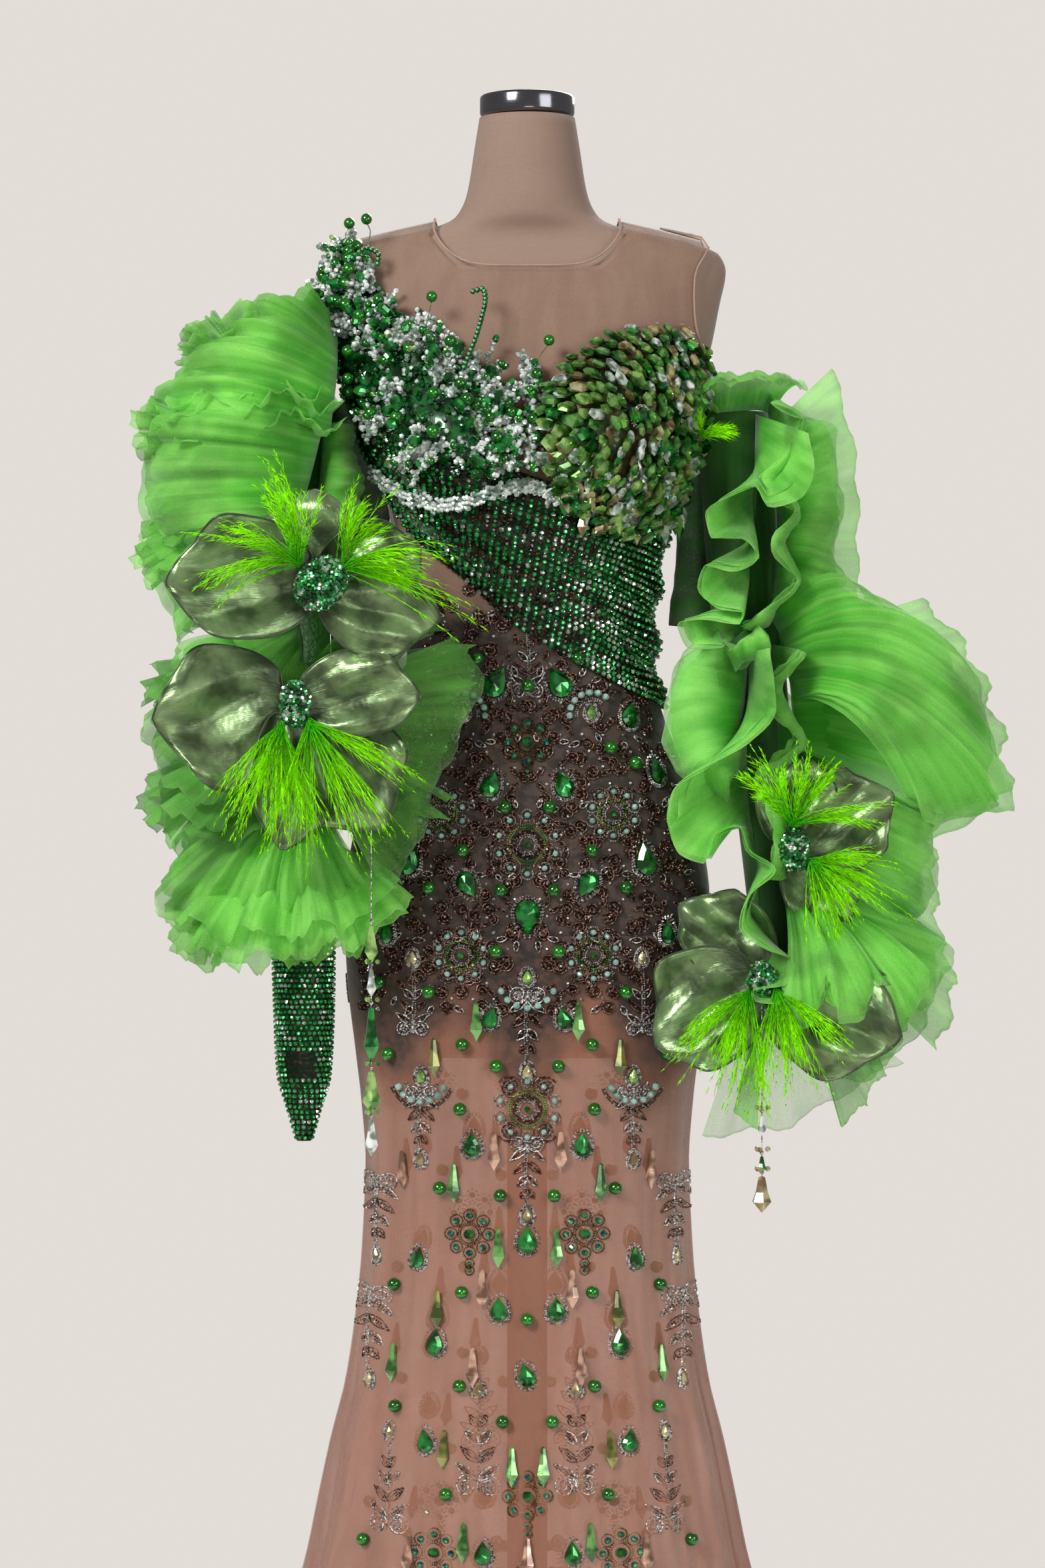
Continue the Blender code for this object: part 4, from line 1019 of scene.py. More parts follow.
@dataclass
class DressForm:
    """The linen torso, its chrome neck cap, the pole and the weighted base."""

    bottom: float = 686.0
    neck_top: float = 1566.0
    cap_top: float = 1589.0
    pole_radius: float = 19.0
    base_radius: float = 165.0
    base_height: float = 14.0
    hub_height: float = 30.0

    def build(self) -> None:
        """Builds the whole stand."""
        z = np.concatenate([[self.bottom, self.bottom + 1.5], np.linspace(self.bottom + 6, 1400, 50),
                            np.linspace(1408, 1500, 26), np.linspace(1508, self.neck_top, 8)])
        shrink = np.where(z < self.bottom + 1, -2.0, 0.0)[:, None]
        rings = FIGURE.skin(np.arange(0, 360, 5.0)[None, :], z[:, None], shrink)
        torso = stacked("linen_torso", rings, LINEN, ["form_torso"])
        self._turned("neck_cap", 46.3, self.neck_top + 0.3, self.cap_top, -22.0, 3.0, CHROME, "form_neck_cap",
                     1.8)
        self._turned("stand_pole", self.pole_radius, self.hub_height + 0.3, self.bottom - 0.4, 0.0, 1.0,
                     STAND, "form_pole", 0)
        self._turned("stand_base", self.base_radius, 0.0, self.base_height, 0.0, 4.0, STAND, "form_base",
                     self.hub_height)

    def _turned(self, name: str, radius: float, low: float, high: float, y: float, edge: float,
                finish: Finish, node: str, extra: float) -> None:
        """A turned part: a cylinder with bevelled rims, and a lip or hub raised from its top.

        Args:
            name: The piece's name.
            radius: Its radius.
            low: Height of its underside.
            high: Height of its top.
            y: Its middle's depth.
            edge: Width of its rounded rim.
            finish: Its finish.
            node: The CAD node that it stands for.
            extra: A lip's depth, or a hub's height.
        """
        bpy.ops.object.select_all(action="DESELECT")
        bpy.ops.mesh.primitive_cylinder_add(vertices=72, radius=radius * MM, depth=(high - low) * MM,
                                            location=(0, y * MM, (high + low) / 2 * MM))
        piece = bpy.context.view_layer.objects.active
        piece.name = name
        only(piece)
        bpy.ops.object.transform_apply(location=True, rotation=True, scale=True)
        if extra:
            for polygon in piece.data.polygons:
                polygon.select = polygon.normal.z > 0.9
            bpy.ops.object.mode_set(mode="EDIT")
            bpy.ops.mesh.select_mode(type="FACE")
            if extra > self.base_height:
                bpy.ops.mesh.inset(thickness=(radius - 36) * MM)
                bpy.ops.mesh.inset(thickness=6 * MM, depth=(extra - high) * MM)
            else:
                bpy.ops.mesh.inset(thickness=5 * MM)
                bpy.ops.mesh.inset(thickness=2 * MM, depth=-extra * MM)
            bpy.ops.object.mode_set(mode="OBJECT")
        with_modifier(piece, "BEVEL", width=edge * MM, segments=3, limit_method="ANGLE", angle_limit=0.9)
        only(piece)
        bpy.ops.object.shade_smooth_by_angle(angle=0.6)
        piece.data.materials.append(finish.material())
        finished(piece, [node])


@dataclass
class Bodice:
    """Sheer mesh from the neck to the hip with rolled edges."""

    underarm: float = 1305.0
    armhole: tuple = ((1305, 0.2), (1335, 20), (1375, 33), (1415, 36), (1436, 27), (1446, 14), (1450.5, 0.6))
    binding: float = 1.6
    cord: float = 0.95
    neckline: tuple = (
        (0, 1419, 1446), (17, 1420.5, 1447), (22, 1428, 1448.5), (26, 1437, 1450), (31, 1447, 1451.5),
        (36, 1452, 1453.5), (41, 1456, 1456.5), (50, 1460, 1460), (61, 1463.5, 1463.5), (75, 1465.5, 1465.5),
        (90, 1466.5, 1466.5),
    )
    columns: int = 50

    def side(self, z: Array) -> Array:
        """How far before or behind the side line a panel's edge lies."""
        return eased(self.armhole, 1, z)

    def lattice(self, centre: float, column: int) -> tuple[Array, Array]:
        """Angles and heights of a panel's points."""
        across = np.linspace(-1, 1, self.columns + 1)
        top = eased(self.neckline, column, 90 * np.abs(across))
        for _ in range(3):
            top = eased(self.neckline, column, np.abs(across) * (90 - self.side(top)))
        shares = np.linspace(0, 1, 19)[1:, None]
        heights = np.concatenate([np.linspace(800, self.underarm, 36)[:, None] + 0 * across,
                                  self.underarm + (top - self.underarm)[None, :] * shares])
        return centre + across[None, :] * (90 - self.side(heights)), heights

    def build(self) -> None:
        """Builds both panels and both rolled edges."""
        edges, holes = {}, []
        lift = FIGURE.mesh_wall + 0.3 + self.binding
        for name, centre, column in (("front", -90.0, 1), ("back", 90.0, 2)):
            angles, heights = self.lattice(centre, column)
            grid = FIGURE.skin(angles, heights, FIGURE.ease(heights) + 0.75)
            Cloth("mesh_" + name, grid, YOKE, ("bodice_" + name,), "stretched", ("linen_torso",), 1.0).make()
            edges[name] = FIGURE.skin(angles[-1], heights[-1], FIGURE.ease(heights[-1]) + lift)
            column, inward = (-1, -1.2) if name == "front" else (0, 1.2)
            z = heights[36:53, column]
            holes.append(FIGURE.skin(angles[36:53, column] + inward, z, FIGURE.ease(z) + lift + 0.4))
        front, back = edges["front"], edges["back"]
        joined = np.array([(front[-1] + back[0]) / 2, *back[1:-1], (back[-1] + front[0]) / 2, *front[1:-1]])
        for _ in range(8):
            joined = (np.roll(joined, 1, axis=0) + 2 * joined + np.roll(joined, -1, axis=0)) / 4
        stacked("rolled_neckline", tube_grid(joined, self.cord, closed=True), EDGE, ["neck_binding"], True)
        ends = [FIGURE.skin(0, 1302.0, FIGURE.ease(1302) + lift),
                FIGURE.skin(0, 1451.5, FIGURE.ease(1451) + lift + 0.5)]
        hole = np.array([ends[0], *holes[0], ends[1], *holes[1][::-1]])
        rings = tube_grid(hole, self.cord, closed=True)
        stacked("rolled_armhole", rings, EDGE, ["armhole_binding_left"], True)


@dataclass
class Skirt:
    """The sheer mermaid skirt from the hip seam to its flared hem."""

    hem: float = 8.0
    columns: int = 106

    def build(self) -> None:
        """Builds the front and back panels with their gathers."""
        z = np.concatenate([np.linspace(self.hem, 640, 38), np.linspace(652, 799.7, 10)])[:, None]
        for name, start in (("front", -180.0), ("back", 0.0)):
            angles = np.linspace(start + 0.2, start + 179.8, self.columns + 1)[None, :]
            turn = np.radians(angles)
            fine = 0.5 + 0.5 * np.sin(61 * turn + 2.1 * np.sin(5 * turn) + 0.002 * z)
            gathers = np.clip((640 - z) / 400, 0, 1) * 2.6 * fine
            out = FIGURE.slack + FIGURE.skirt_folds(angles, z) + gathers + 0.75
            grid = FIGURE.skin(angles, z, out)[::-1][:, ::-1]
            Cloth("skirt_net_" + name, grid, SKIRT_NET, ("skirt_" + name,), "hung", ("mesh_" + name,),
                  SKIRT_WALL).make()


@dataclass
class Sash:
    """Draped mesh of set stones from the right underarm to the left waist, front and back."""

    edges: tuple = (
        (-180, 1262, 1398), (-168, 1246, 1382), (-150, 1184, 1314), (-120, 1134, 1266), (-90, 1080, 1226),
        (-60, 1044, 1206), (-30, 1018, 1196), (0, 1008, 1190), (45, 1022, 1200), (90, 1084, 1240),
        (135, 1176, 1316), (180, 1262, 1398),
    )
    drape: float = 7.5
    stone: float = 2.7
    rows: int = 29
    around: int = 130
    lean: float = 10.0

    def rise(self, degrees: Array, share: Array) -> Array:
        """How far the folds stand out; they run with the sash and gather at its ends."""
        turn = np.radians(degrees)
        drift = 0.35 * np.sin(turn) + 0.12 * np.sin(3 * turn + 1)
        upper = np.clip(np.sin(2 * math.pi * (3.4 * share + drift)), 0, 1) ** 1.3
        return self.drape * upper * np.clip(8 * share, 0, 1) * np.clip(8 * (1 - share), 0, 1)

    def seat(self, degrees: Array, share: Array) -> tuple[Array, Array]:
        """Heights and distances off the form across the sash."""
        low, high = eased(self.edges, 1, degrees), eased(self.edges, 2, degrees)
        z = low + (high - low) * share
        return z, FIGURE.ease(z) + FIGURE.mesh_wall + 3.1 + self.rise(degrees, share)

    def build(self) -> None:
        """Builds the mesh and sets its stones."""
        tray = Tray("sash_stones")
        for name, start in (("front", -180.0), ("back", 0.0)):
            angles = np.linspace(start + 0.2, start + 179.8, 73)[None, :]
            z, out = self.seat(angles, np.linspace(0, 1, 30)[:, None])
            Cloth("sash_mesh_" + name, FIGURE.skin(angles, z, out + 0.8), CHAIN, ("sash_" + name,), "draped",
                  ("mesh_" + name,), 1.4).make()
        rng = np.random.default_rng(4)
        degrees, share = np.meshgrid(np.arange(self.around) * 360 / self.around - 180,
                                     np.linspace(0.012, 0.988, self.rows))
        degrees, share = (degrees + self.lean * share + 180).ravel() % 360 - 180, share.ravel()
        z, out = self.seat(degrees, share)
        places, frames = FIGURE.seats(degrees, z, out + 1.7)
        tilt = rng.normal(0, 0.16, (len(places), 2))
        frames = frames_to(frames[..., 2] + tilt[:, :1] * frames[..., 0] + tilt[:, 1:] * frames[..., 1], UP)
        # Painted light: glint stones gather on the front right where the key light falls; smoky stones gather
        # in the front middle and in the fold troughs, partly their brown colour and partly painted shade.
        lit = 0.05 + 0.42 * np.exp(-(((degrees + 52) / 30) ** 2)) * np.clip(1.2 - share, 0, 1)
        brown_and_trough_shade = 0.62 * np.exp(-(((degrees + 98) / 34) ** 2)) * (1 - self.rise(degrees, share) / self.drape)
        pick = rng.random(len(places))
        for finish, low, high in ((GLINT, 0 * lit, lit), (SMOKE, lit, lit + brown_and_trough_shade),
                                  (DEEP_GREEN, lit + brown_and_trough_shade, 0.8), (BRIGHT_GREEN, 0.8, 1.0)):
            here = (pick >= low) & (pick < high)
            tray.lay(Cut.CHATON, finish, places[here], frames[here], self.stone)
        # Painted glints: tiny white grains on many stones stand in for highlights.
        painted_glints = rng.random(len(places)) < 0.62
        aside = rng.normal(0, 0.9, (len(places), 2))
        tops = places + frames[..., 2] * 1.5 + frames[..., 0] * aside[:, :1] + frames[..., 1] * aside[:, 1:]
        tray.lay(Cut.GRAIN, GLINT, tops[painted_glints], frames[painted_glints], rng.uniform(0.6, 1.35, int(painted_glints.sum())))
        tray.sewn()


# Beadwork


def bead_seat(sash: Sash, degrees: Array, z: Array) -> Array:
    """How far beadwork stands off the form: over the sash, then down onto the mesh."""
    above = np.clip((z - eased(sash.edges, 2, degrees) - 8) / 26, 0, 1)
    return FIGURE.ease(z) + FIGURE.mesh_wall + 1.2 + (1 - above) * 6.5


def thin_shell(outer: Array, inner: Array) -> tuple[Array, Array, Array]:
    """Corners, loops and sizes of a closed shell between two grids of points."""
    shell = np.concatenate([outer, inner[::-1]])
    rows, cols = shell.shape[:2]
    i, j = np.meshgrid(np.arange(rows), np.arange(cols - 1), indexing="ij")
    k = (i + 1) % rows
    quads = np.stack([i * cols + j, k * cols + j, k * cols + j + 1, i * cols + j + 1], axis=-1).reshape(-1, 4)
    ends = []
    for col, order in ((0, 1), (cols - 1, -1)):
        for row in range(rows // 2 - 1):
            four = [row * cols + col, (rows - 1 - row) * cols + col, (rows - 2 - row) * cols + col,
                    (row + 1) * cols + col]
            ends += four[::order]
    return shell.reshape(-1, 3), np.concatenate([quads.ravel(), ends]), np.full(len(quads) + rows - 2, 4)


@dataclass
class BeadSpray:
    """Coral-like sprays of clear beads with green stones and pearls over the right breast and shoulder."""

    sash: Sash
    stations: tuple = ((-160, 1437, 9, 12), (-163, 1414, 18, 22), (-148, 1378, 25, 20), (-129, 1338, 38, 20),
                       (-96, 1304, 48, 22), (-60, 1278, 50, 22), (-33, 1260, 36, 18), (-14, 1248, 20, 12))
    sprigs: int = 250
    clumps: int = 32
    ground: tuple = (
        (CLEAR, Cut.SEED, 0, 0.22, 2.9), (SHADOW_GREEN, Cut.SEED, 0.22, 0.92, 2.9),
        (EMERALD, Cut.OVAL, 0.92, 1, 5.0),
    )
    buds: tuple = (
        (EMERALD, Cut.OVAL, 0, 0.3, 4.8), (PEARL, Cut.PEARL, 0.3, 0.42, 4.0),
        (LEAF_GLASS, Cut.OVAL, 0.42, 0.5, 4.2), (CLEAR, Cut.SEED, 0.5, 1, 3.0),
    )
    jewels: int = 96
    ovals: int = 58
    beaded_curls: int = 3
    swag: tuple = ((-132, 1240), (-104, 1218), (-70, 1208), (-32, 1216), (2, 1222), (38, 1206), (72, 1199))
    column: tuple = ((8, 1236), (5, 1256), (9, 1276), (2, 1296), (4, 1314), (-2, 1328))

    def spot(self, share: Array, across: Array) -> tuple[Array, Array, Array, Array]:
        """Places and frames in the spray's own band, with its thickness there."""
        rows = [(s, *row) for s, row in zip(np.linspace(0, 1, len(self.stations)), self.stations)]
        x, z, half, thick = (eased(rows, k, share) for k in range(1, 5))
        ahead = [eased(rows, k, np.clip(share + 0.01, 0, 1)) - eased(rows, k, np.clip(share - 0.01, 0, 1))
                 for k in (1, 2)]
        along = unit(np.stack(ahead, axis=-1))
        px, pz = x + across * half * along[..., 1], z - across * half * along[..., 0]
        degrees = FIGURE.angle_at(px, pz)
        places, frames = FIGURE.seats(degrees, pz, bead_seat(self.sash, degrees, pz))
        return places, frames, thick, along

    def build(self) -> None:
        """Packs the ground, grows the sprigs and adds curled tendrils."""
        rng = np.random.default_rng(12)
        tray = Tray("bead_sprays")
        strip, wide = np.meshgrid(np.linspace(0.02, 0.98, 44), np.linspace(0.84, -0.84, 9), indexing="ij")
        places, frames, _, _ = self.spot(strip, wide)
        tray.body(*thin_shell(places + frames[..., 2] * 1.6, places + frames[..., 2] * 0.4), SHADOW_GREEN)
        grounds = 1080
        share, across = rng.random(grounds) ** 0.9, rng.uniform(-0.97, 0.97, grounds)
        places, frames, _, _ = self.spot(share, across)
        for finish, cut, low, high, size in self.ground:
            here = slice(int(grounds * low), int(grounds * high))
            turn = rng.uniform(0, 6.28, grounds)[here]
            lift = rng.uniform(0.5, 5.0, grounds)[here, None]
            tray.lay(cut, finish, places[here] + frames[here, :, 2] * lift, spun(frames[here], turn),
                     size * rng.uniform(0.8, 1.15, len(turn)))
        clump = np.arange(self.sprigs) % self.clumps
        share = np.clip((clump * GOLDEN + 0.1) % 1 + rng.normal(0, 0.02, self.sprigs), 0, 1)
        across = np.clip(rng.uniform(-0.92, 0.88, self.clumps)[clump] + rng.normal(0, 0.15, self.sprigs),
                         -0.97, 0.95)
        places, frames, thick, _ = self.spot(share, across)
        beads, tips, tip_frames = [], [], []
        for number in range(self.sprigs):
            lean = rng.normal(0, 0.62, 2) + (0.0, 0.3)
            heading = unit(frames[number, :, 2] + frames[number, :, 0] * lean[0]
                           + frames[number, :, 1] * lean[1])
            at = places[number] + frames[number, :, 2] * 2
            reach = int(3 + thick[number] / 22 * rng.uniform(1.0, 3.4))
            for step in range(reach):
                bend = unit(rng.normal(0, 1, 3))
                heading = unit(heading + 0.28 * bend)
                at = at + heading * 4.6
                beads.append((*at, 3.0 - 0.12 * step))
                for _ in range(2 if number % 3 else 1):
                    fork = at + unit(heading + 1.6 * unit(rng.normal(0, 1, 3))) * 4.6
                    beads.append((*fork, 2.7))
            tips.append(at + heading * 4.2)
            tip_frames.append(heading)
        beads, tips, tip_frames = np.array(beads), np.array(tips), np.array(tip_frames)
        turn = rng.uniform(0, 6.28, len(beads))
        loose = frames_to(unit(rng.normal(0, 1, (len(beads), 3))), UP)
        tray.lay(Cut.SEED, CLEAR, beads[:, :3], spun(loose, turn), beads[:, 3])
        ends = frames_to(tip_frames + 0.01, np.array([0.2, 0.1, 1.0]))
        kind = rng.random(len(tips))
        for finish, cut, low, high, size in self.buds:
            here = (kind >= low) & (kind < high)
            tray.lay(cut, finish, tips[here], ends[here], size)
        self._jewels(tray, rng)
        self._garland(tray, rng)
        self._tendrils(tray)
        tray.sewn(["bead_spray"])

    def _jewels(self, tray: Tray, rng: np.random.Generator) -> None:
        """Green ovals and pearls proud of the sprays, and a column of clear beads beside the cup."""
        count, ovals = self.jewels, self.ovals
        share, across = (np.arange(count) * GOLDEN) % 1, rng.uniform(-0.88, 0.88, count)
        places, frames, thick, _ = self.spot(share, across)
        places = places + frames[..., 2] * (thick * rng.uniform(0.8, 1.25, count))[:, None]
        lean = frames_to(frames[..., 2] + rng.normal(0, 0.35, (count, 3)), UP)
        lean = spun(lean, rng.uniform(0, 6.28, count))
        tray.lay(Cut.OVAL, EMERALD, places[:ovals], lean[:ovals], rng.uniform(7.4, 9.8, ovals))
        tray.lay(Cut.PEARL, PEARL, places[ovals:], lean[ovals:], rng.uniform(5.6, 6.8, count - ovals))
        spine = resampled(np.array(self.column, float), 2.6)
        knots = np.repeat(spine, 9, axis=0) + rng.normal(0, 5.2, (9 * len(spine), 2)) * (1, 0.6)
        degrees = FIGURE.angle_at(knots[:, 0], knots[:, 1])
        out = bead_seat(self.sash, degrees, knots[:, 1]) + rng.uniform(1, 16, len(knots))
        seats, frames = FIGURE.seats(degrees, knots[:, 1], out)
        turned = spun(frames, rng.uniform(0, 6, len(knots)))
        tray.lay(Cut.SEED, CLEAR, seats, turned, rng.uniform(2.3, 3.1, len(knots)))
        for step in range(4, len(knots), 34):
            cut, finish = (Cut.OVAL, EMERALD) if step % 4 else (Cut.PEARL, PEARL)
            turned = spun(frames[step:step + 1], 0.6 * step)[0]
            tray.lay(cut, finish, seats[step] + frames[step, :, 2] * 6, turned, 6.2)

    def _garland(self, tray: Tray, rng: np.random.Generator) -> None:
        """A swag of clear beads under the bust."""
        x = np.linspace(-132, 72, 90)
        z = eased(self.swag, 1, x) + rng.normal(0, 1.6, 90)
        for drop in (0.0, -4.5, -9.0):
            degrees = FIGURE.angle_at(x, z + drop)
            out = bead_seat(self.sash, degrees, z) + 3.5 + 2.5 * rng.random(90)
            places, frames = FIGURE.seats(degrees, z + drop, out)
            turned = spun(frames, rng.uniform(0, 6, 90))
            tray.lay(Cut.SEED, CLEAR, places, turned, rng.uniform(2.2, 3.2, 90))

    def _tendrils(self, tray: Tray) -> None:
        """Curled wires of green seed beads, and pearls on wires."""
        curls = (
            ((-178, 1404, -70), (-168, 1424, -74), (-150, 1440, -70), (-138, 1434, -68), (-139, 1424, -70)),
            ((-58, 1322, -128), (-46, 1352, -126), (-38, 1384, -116), (-40, 1397, -108), (-50, 1394, -106)),
            ((-186, 1304, -66), (-192, 1316, -70), (-186, 1328, -74), (-176, 1326, -76)),
            ((-98, 1344, -108), (-92, 1366, -110), (-88, 1386, -108)),
            ((4, 1318, -120), (12, 1334, -118), (20, 1345, -116)),
            ((-150, 1436, -58), (-146, 1456, -56), (-150, 1464, -58)),
            ((-166, 1436, -56), (-170, 1452, -58), (-166, 1460, -58)),
        )
        for number, curl in enumerate(curls):
            knots = np.array(curl, float)[:, [0, 2, 1]]
            t = np.linspace(0, len(knots) - 1, 40)
            smooth = on_path(knots, np.arange(len(knots)), t)
            for _ in range(6):
                smooth[1:-1] = (smooth[:-2] + smooth[1:-1] * 2 + smooth[2:]) / 4
            tray.body(*stack_arrays(tube_grid(resampled(smooth, 4.0), 0.5, 4)), SHADOW_GREEN)
            path = resampled(smooth, 4.4)
            if number < self.beaded_curls:
                tray.lay(Cut.SEED, WIRE_GREEN, path, np.eye(3), 2.9)
            else:
                tray.lay(Cut.PEARL, PEARL, path[-1:] + UP * 3, np.eye(3), 5.4)


@dataclass
class CrystalCup:
    """A dome of leaf-shaped crystals over the left breast, with long drops under it."""

    sash: Sash
    middle: float = -50.0
    half_angle: float = 36.0
    height: float = 1268.0
    half_height: float = 90.0
    dome: float = 18.0

    def spot(self, u: Array, w: Array) -> tuple[Array, Array]:
        """Places and frames on the dome for disc coordinates."""
        degrees, z = self.middle + self.half_angle * u, self.height + self.half_height * w
        raised = self.dome * np.clip(1 - u**2 - w**2, 0, 1) ** 0.5
        return FIGURE.seats(degrees, z, bead_seat(self.sash, degrees, z) + 0.5 + 0.75 * raised)

    def build(self) -> None:
        """Lays rings of leaves that overlap outwards, halo stones among them and drops below."""
        rng = np.random.default_rng(3)
        tray = Tray("crystal_dome")
        u, w = np.meshgrid(np.linspace(-1, 1, 25), np.linspace(-1, 1, 25), indexing="ij")
        disc_u, disc_w = u * np.sqrt(1 - w**2 / 2) * 0.95, w * np.sqrt(1 - u**2 / 2) * 0.95
        places, frames = self.spot(disc_u, disc_w)
        tray.body(*thin_shell(places, places - frames[..., 2] * 3), CUP_GROUND)
        finishes = (EMERALD, LEAF_GLASS, FERN, CHAMPAGNE, CLEAR, LEAF_GLASS, FERN)
        for layer, count in enumerate((230, 190)):
            step = np.arange(count) + 0.5
            radius, turn = 0.99 * np.sqrt(step / count), GOLDEN_TURN * step + layer
            across, up = radius * np.cos(turn), radius * np.sin(turn)
            places, frames = self.spot(across, up)
            splay = rng.uniform(0.3, 0.75, count)
            fanned = np.arctan2(up + 0.15, across + 1.05) * 1.25 - np.clip(-up - 0.2, 0, 1) * 0.5
            forward = spun(frames, fanned - math.pi / 2 + rng.uniform(-0.35, 0.35, count))
            tips = unit(forward[..., 1] + frames[..., 2] * splay[:, None])
            turned = np.stack([forward[..., 0], tips, np.cross(forward[..., 0], tips)], axis=-1)
            pick = rng.integers(0, len(finishes), count)
            length = rng.uniform(10.5, 15.5, count)
            for number, finish in enumerate(finishes):
                here = pick == number
                size = length[here, None] * np.array([1.2, 1, 1.2])
                tray.lay(Cut.LEAF, finish, places[here] + tips[here] * length[here, None] * 0.5
                         + frames[here, :, 2] * (3.5 + 4.0 * layer), turned[here], size)
        for _ in range(9):
            u, w = rng.uniform(-0.6, 0.6, 2)
            places, frames = self.spot(np.array([u]), np.array([w]))
            lay_halo(tray, places + frames[..., 2] * 11, spun(frames, rng.uniform(0, 6.28)), 6.8, EMERALD)
        drops = 92
        x = np.linspace(30, 150, drops) + rng.uniform(-3, 3, drops)
        z = 1212 + 22 * np.abs(np.linspace(-1, 1, drops)) ** 2 + rng.uniform(-14, 34, drops)
        degrees = FIGURE.angle_at(np.clip(x, 0, 126), z)
        out = bead_seat(self.sash, degrees, z) + rng.uniform(6, 15, drops)
        places, frames = FIGURE.seats(degrees, z, out)
        hang = spun(frames_to(unit(frames[..., 2] * (1, 1, 0)), UP), rng.normal(0.12, 0.16, drops))
        pick = rng.integers(0, 4, drops)
        for number, finish in enumerate((LEAF_GLASS, CLEAR, EMERALD, CHAMPAGNE)):
            here = pick == number
            size = rng.uniform(12, 19, int(here.sum()))[:, None] * (1.25, 1, 1.25)
            tray.lay(Cut.LONG, finish, places[here], hang[here], size)
        tray.sewn(["crystal_cup"])


def lay_halo(tray: Tray, place: Array, frames: Array, size: float, finish: Finish) -> None:
    """Lays a pear stone in a ring of small bright stones."""
    frames = np.asarray(frames).reshape(3, 3)
    place = np.asarray(place).reshape(3)
    tray.lay(Cut.PEAR, finish, place, frames, size)
    for beads, gap, bead in ((26, 1.0, 1.6), (34, 2.9, 1.3)):
        turn = np.linspace(0, 2 * math.pi, beads + 1)[:-1]
        reach = size * (1.06 + 0.84 * np.clip(np.sin(turn), 0, 1) ** 4) + gap
        around = np.cos(turn)[:, None] * frames[:, 0] + np.sin(turn)[:, None] * frames[:, 1]
        tray.lay(Cut.GRAIN, SILVER, place + reach[:, None] * around, frames, bead)


class Motif(Enum):
    """Ordinary embroidery motifs."""

    LEAVES = "leaves"
    MEDALLION = "medallion"
    ROSETTE = "rosette"
    DROPLET = "droplet"
    FAN = "fan"
    SPRIG = "sprig"


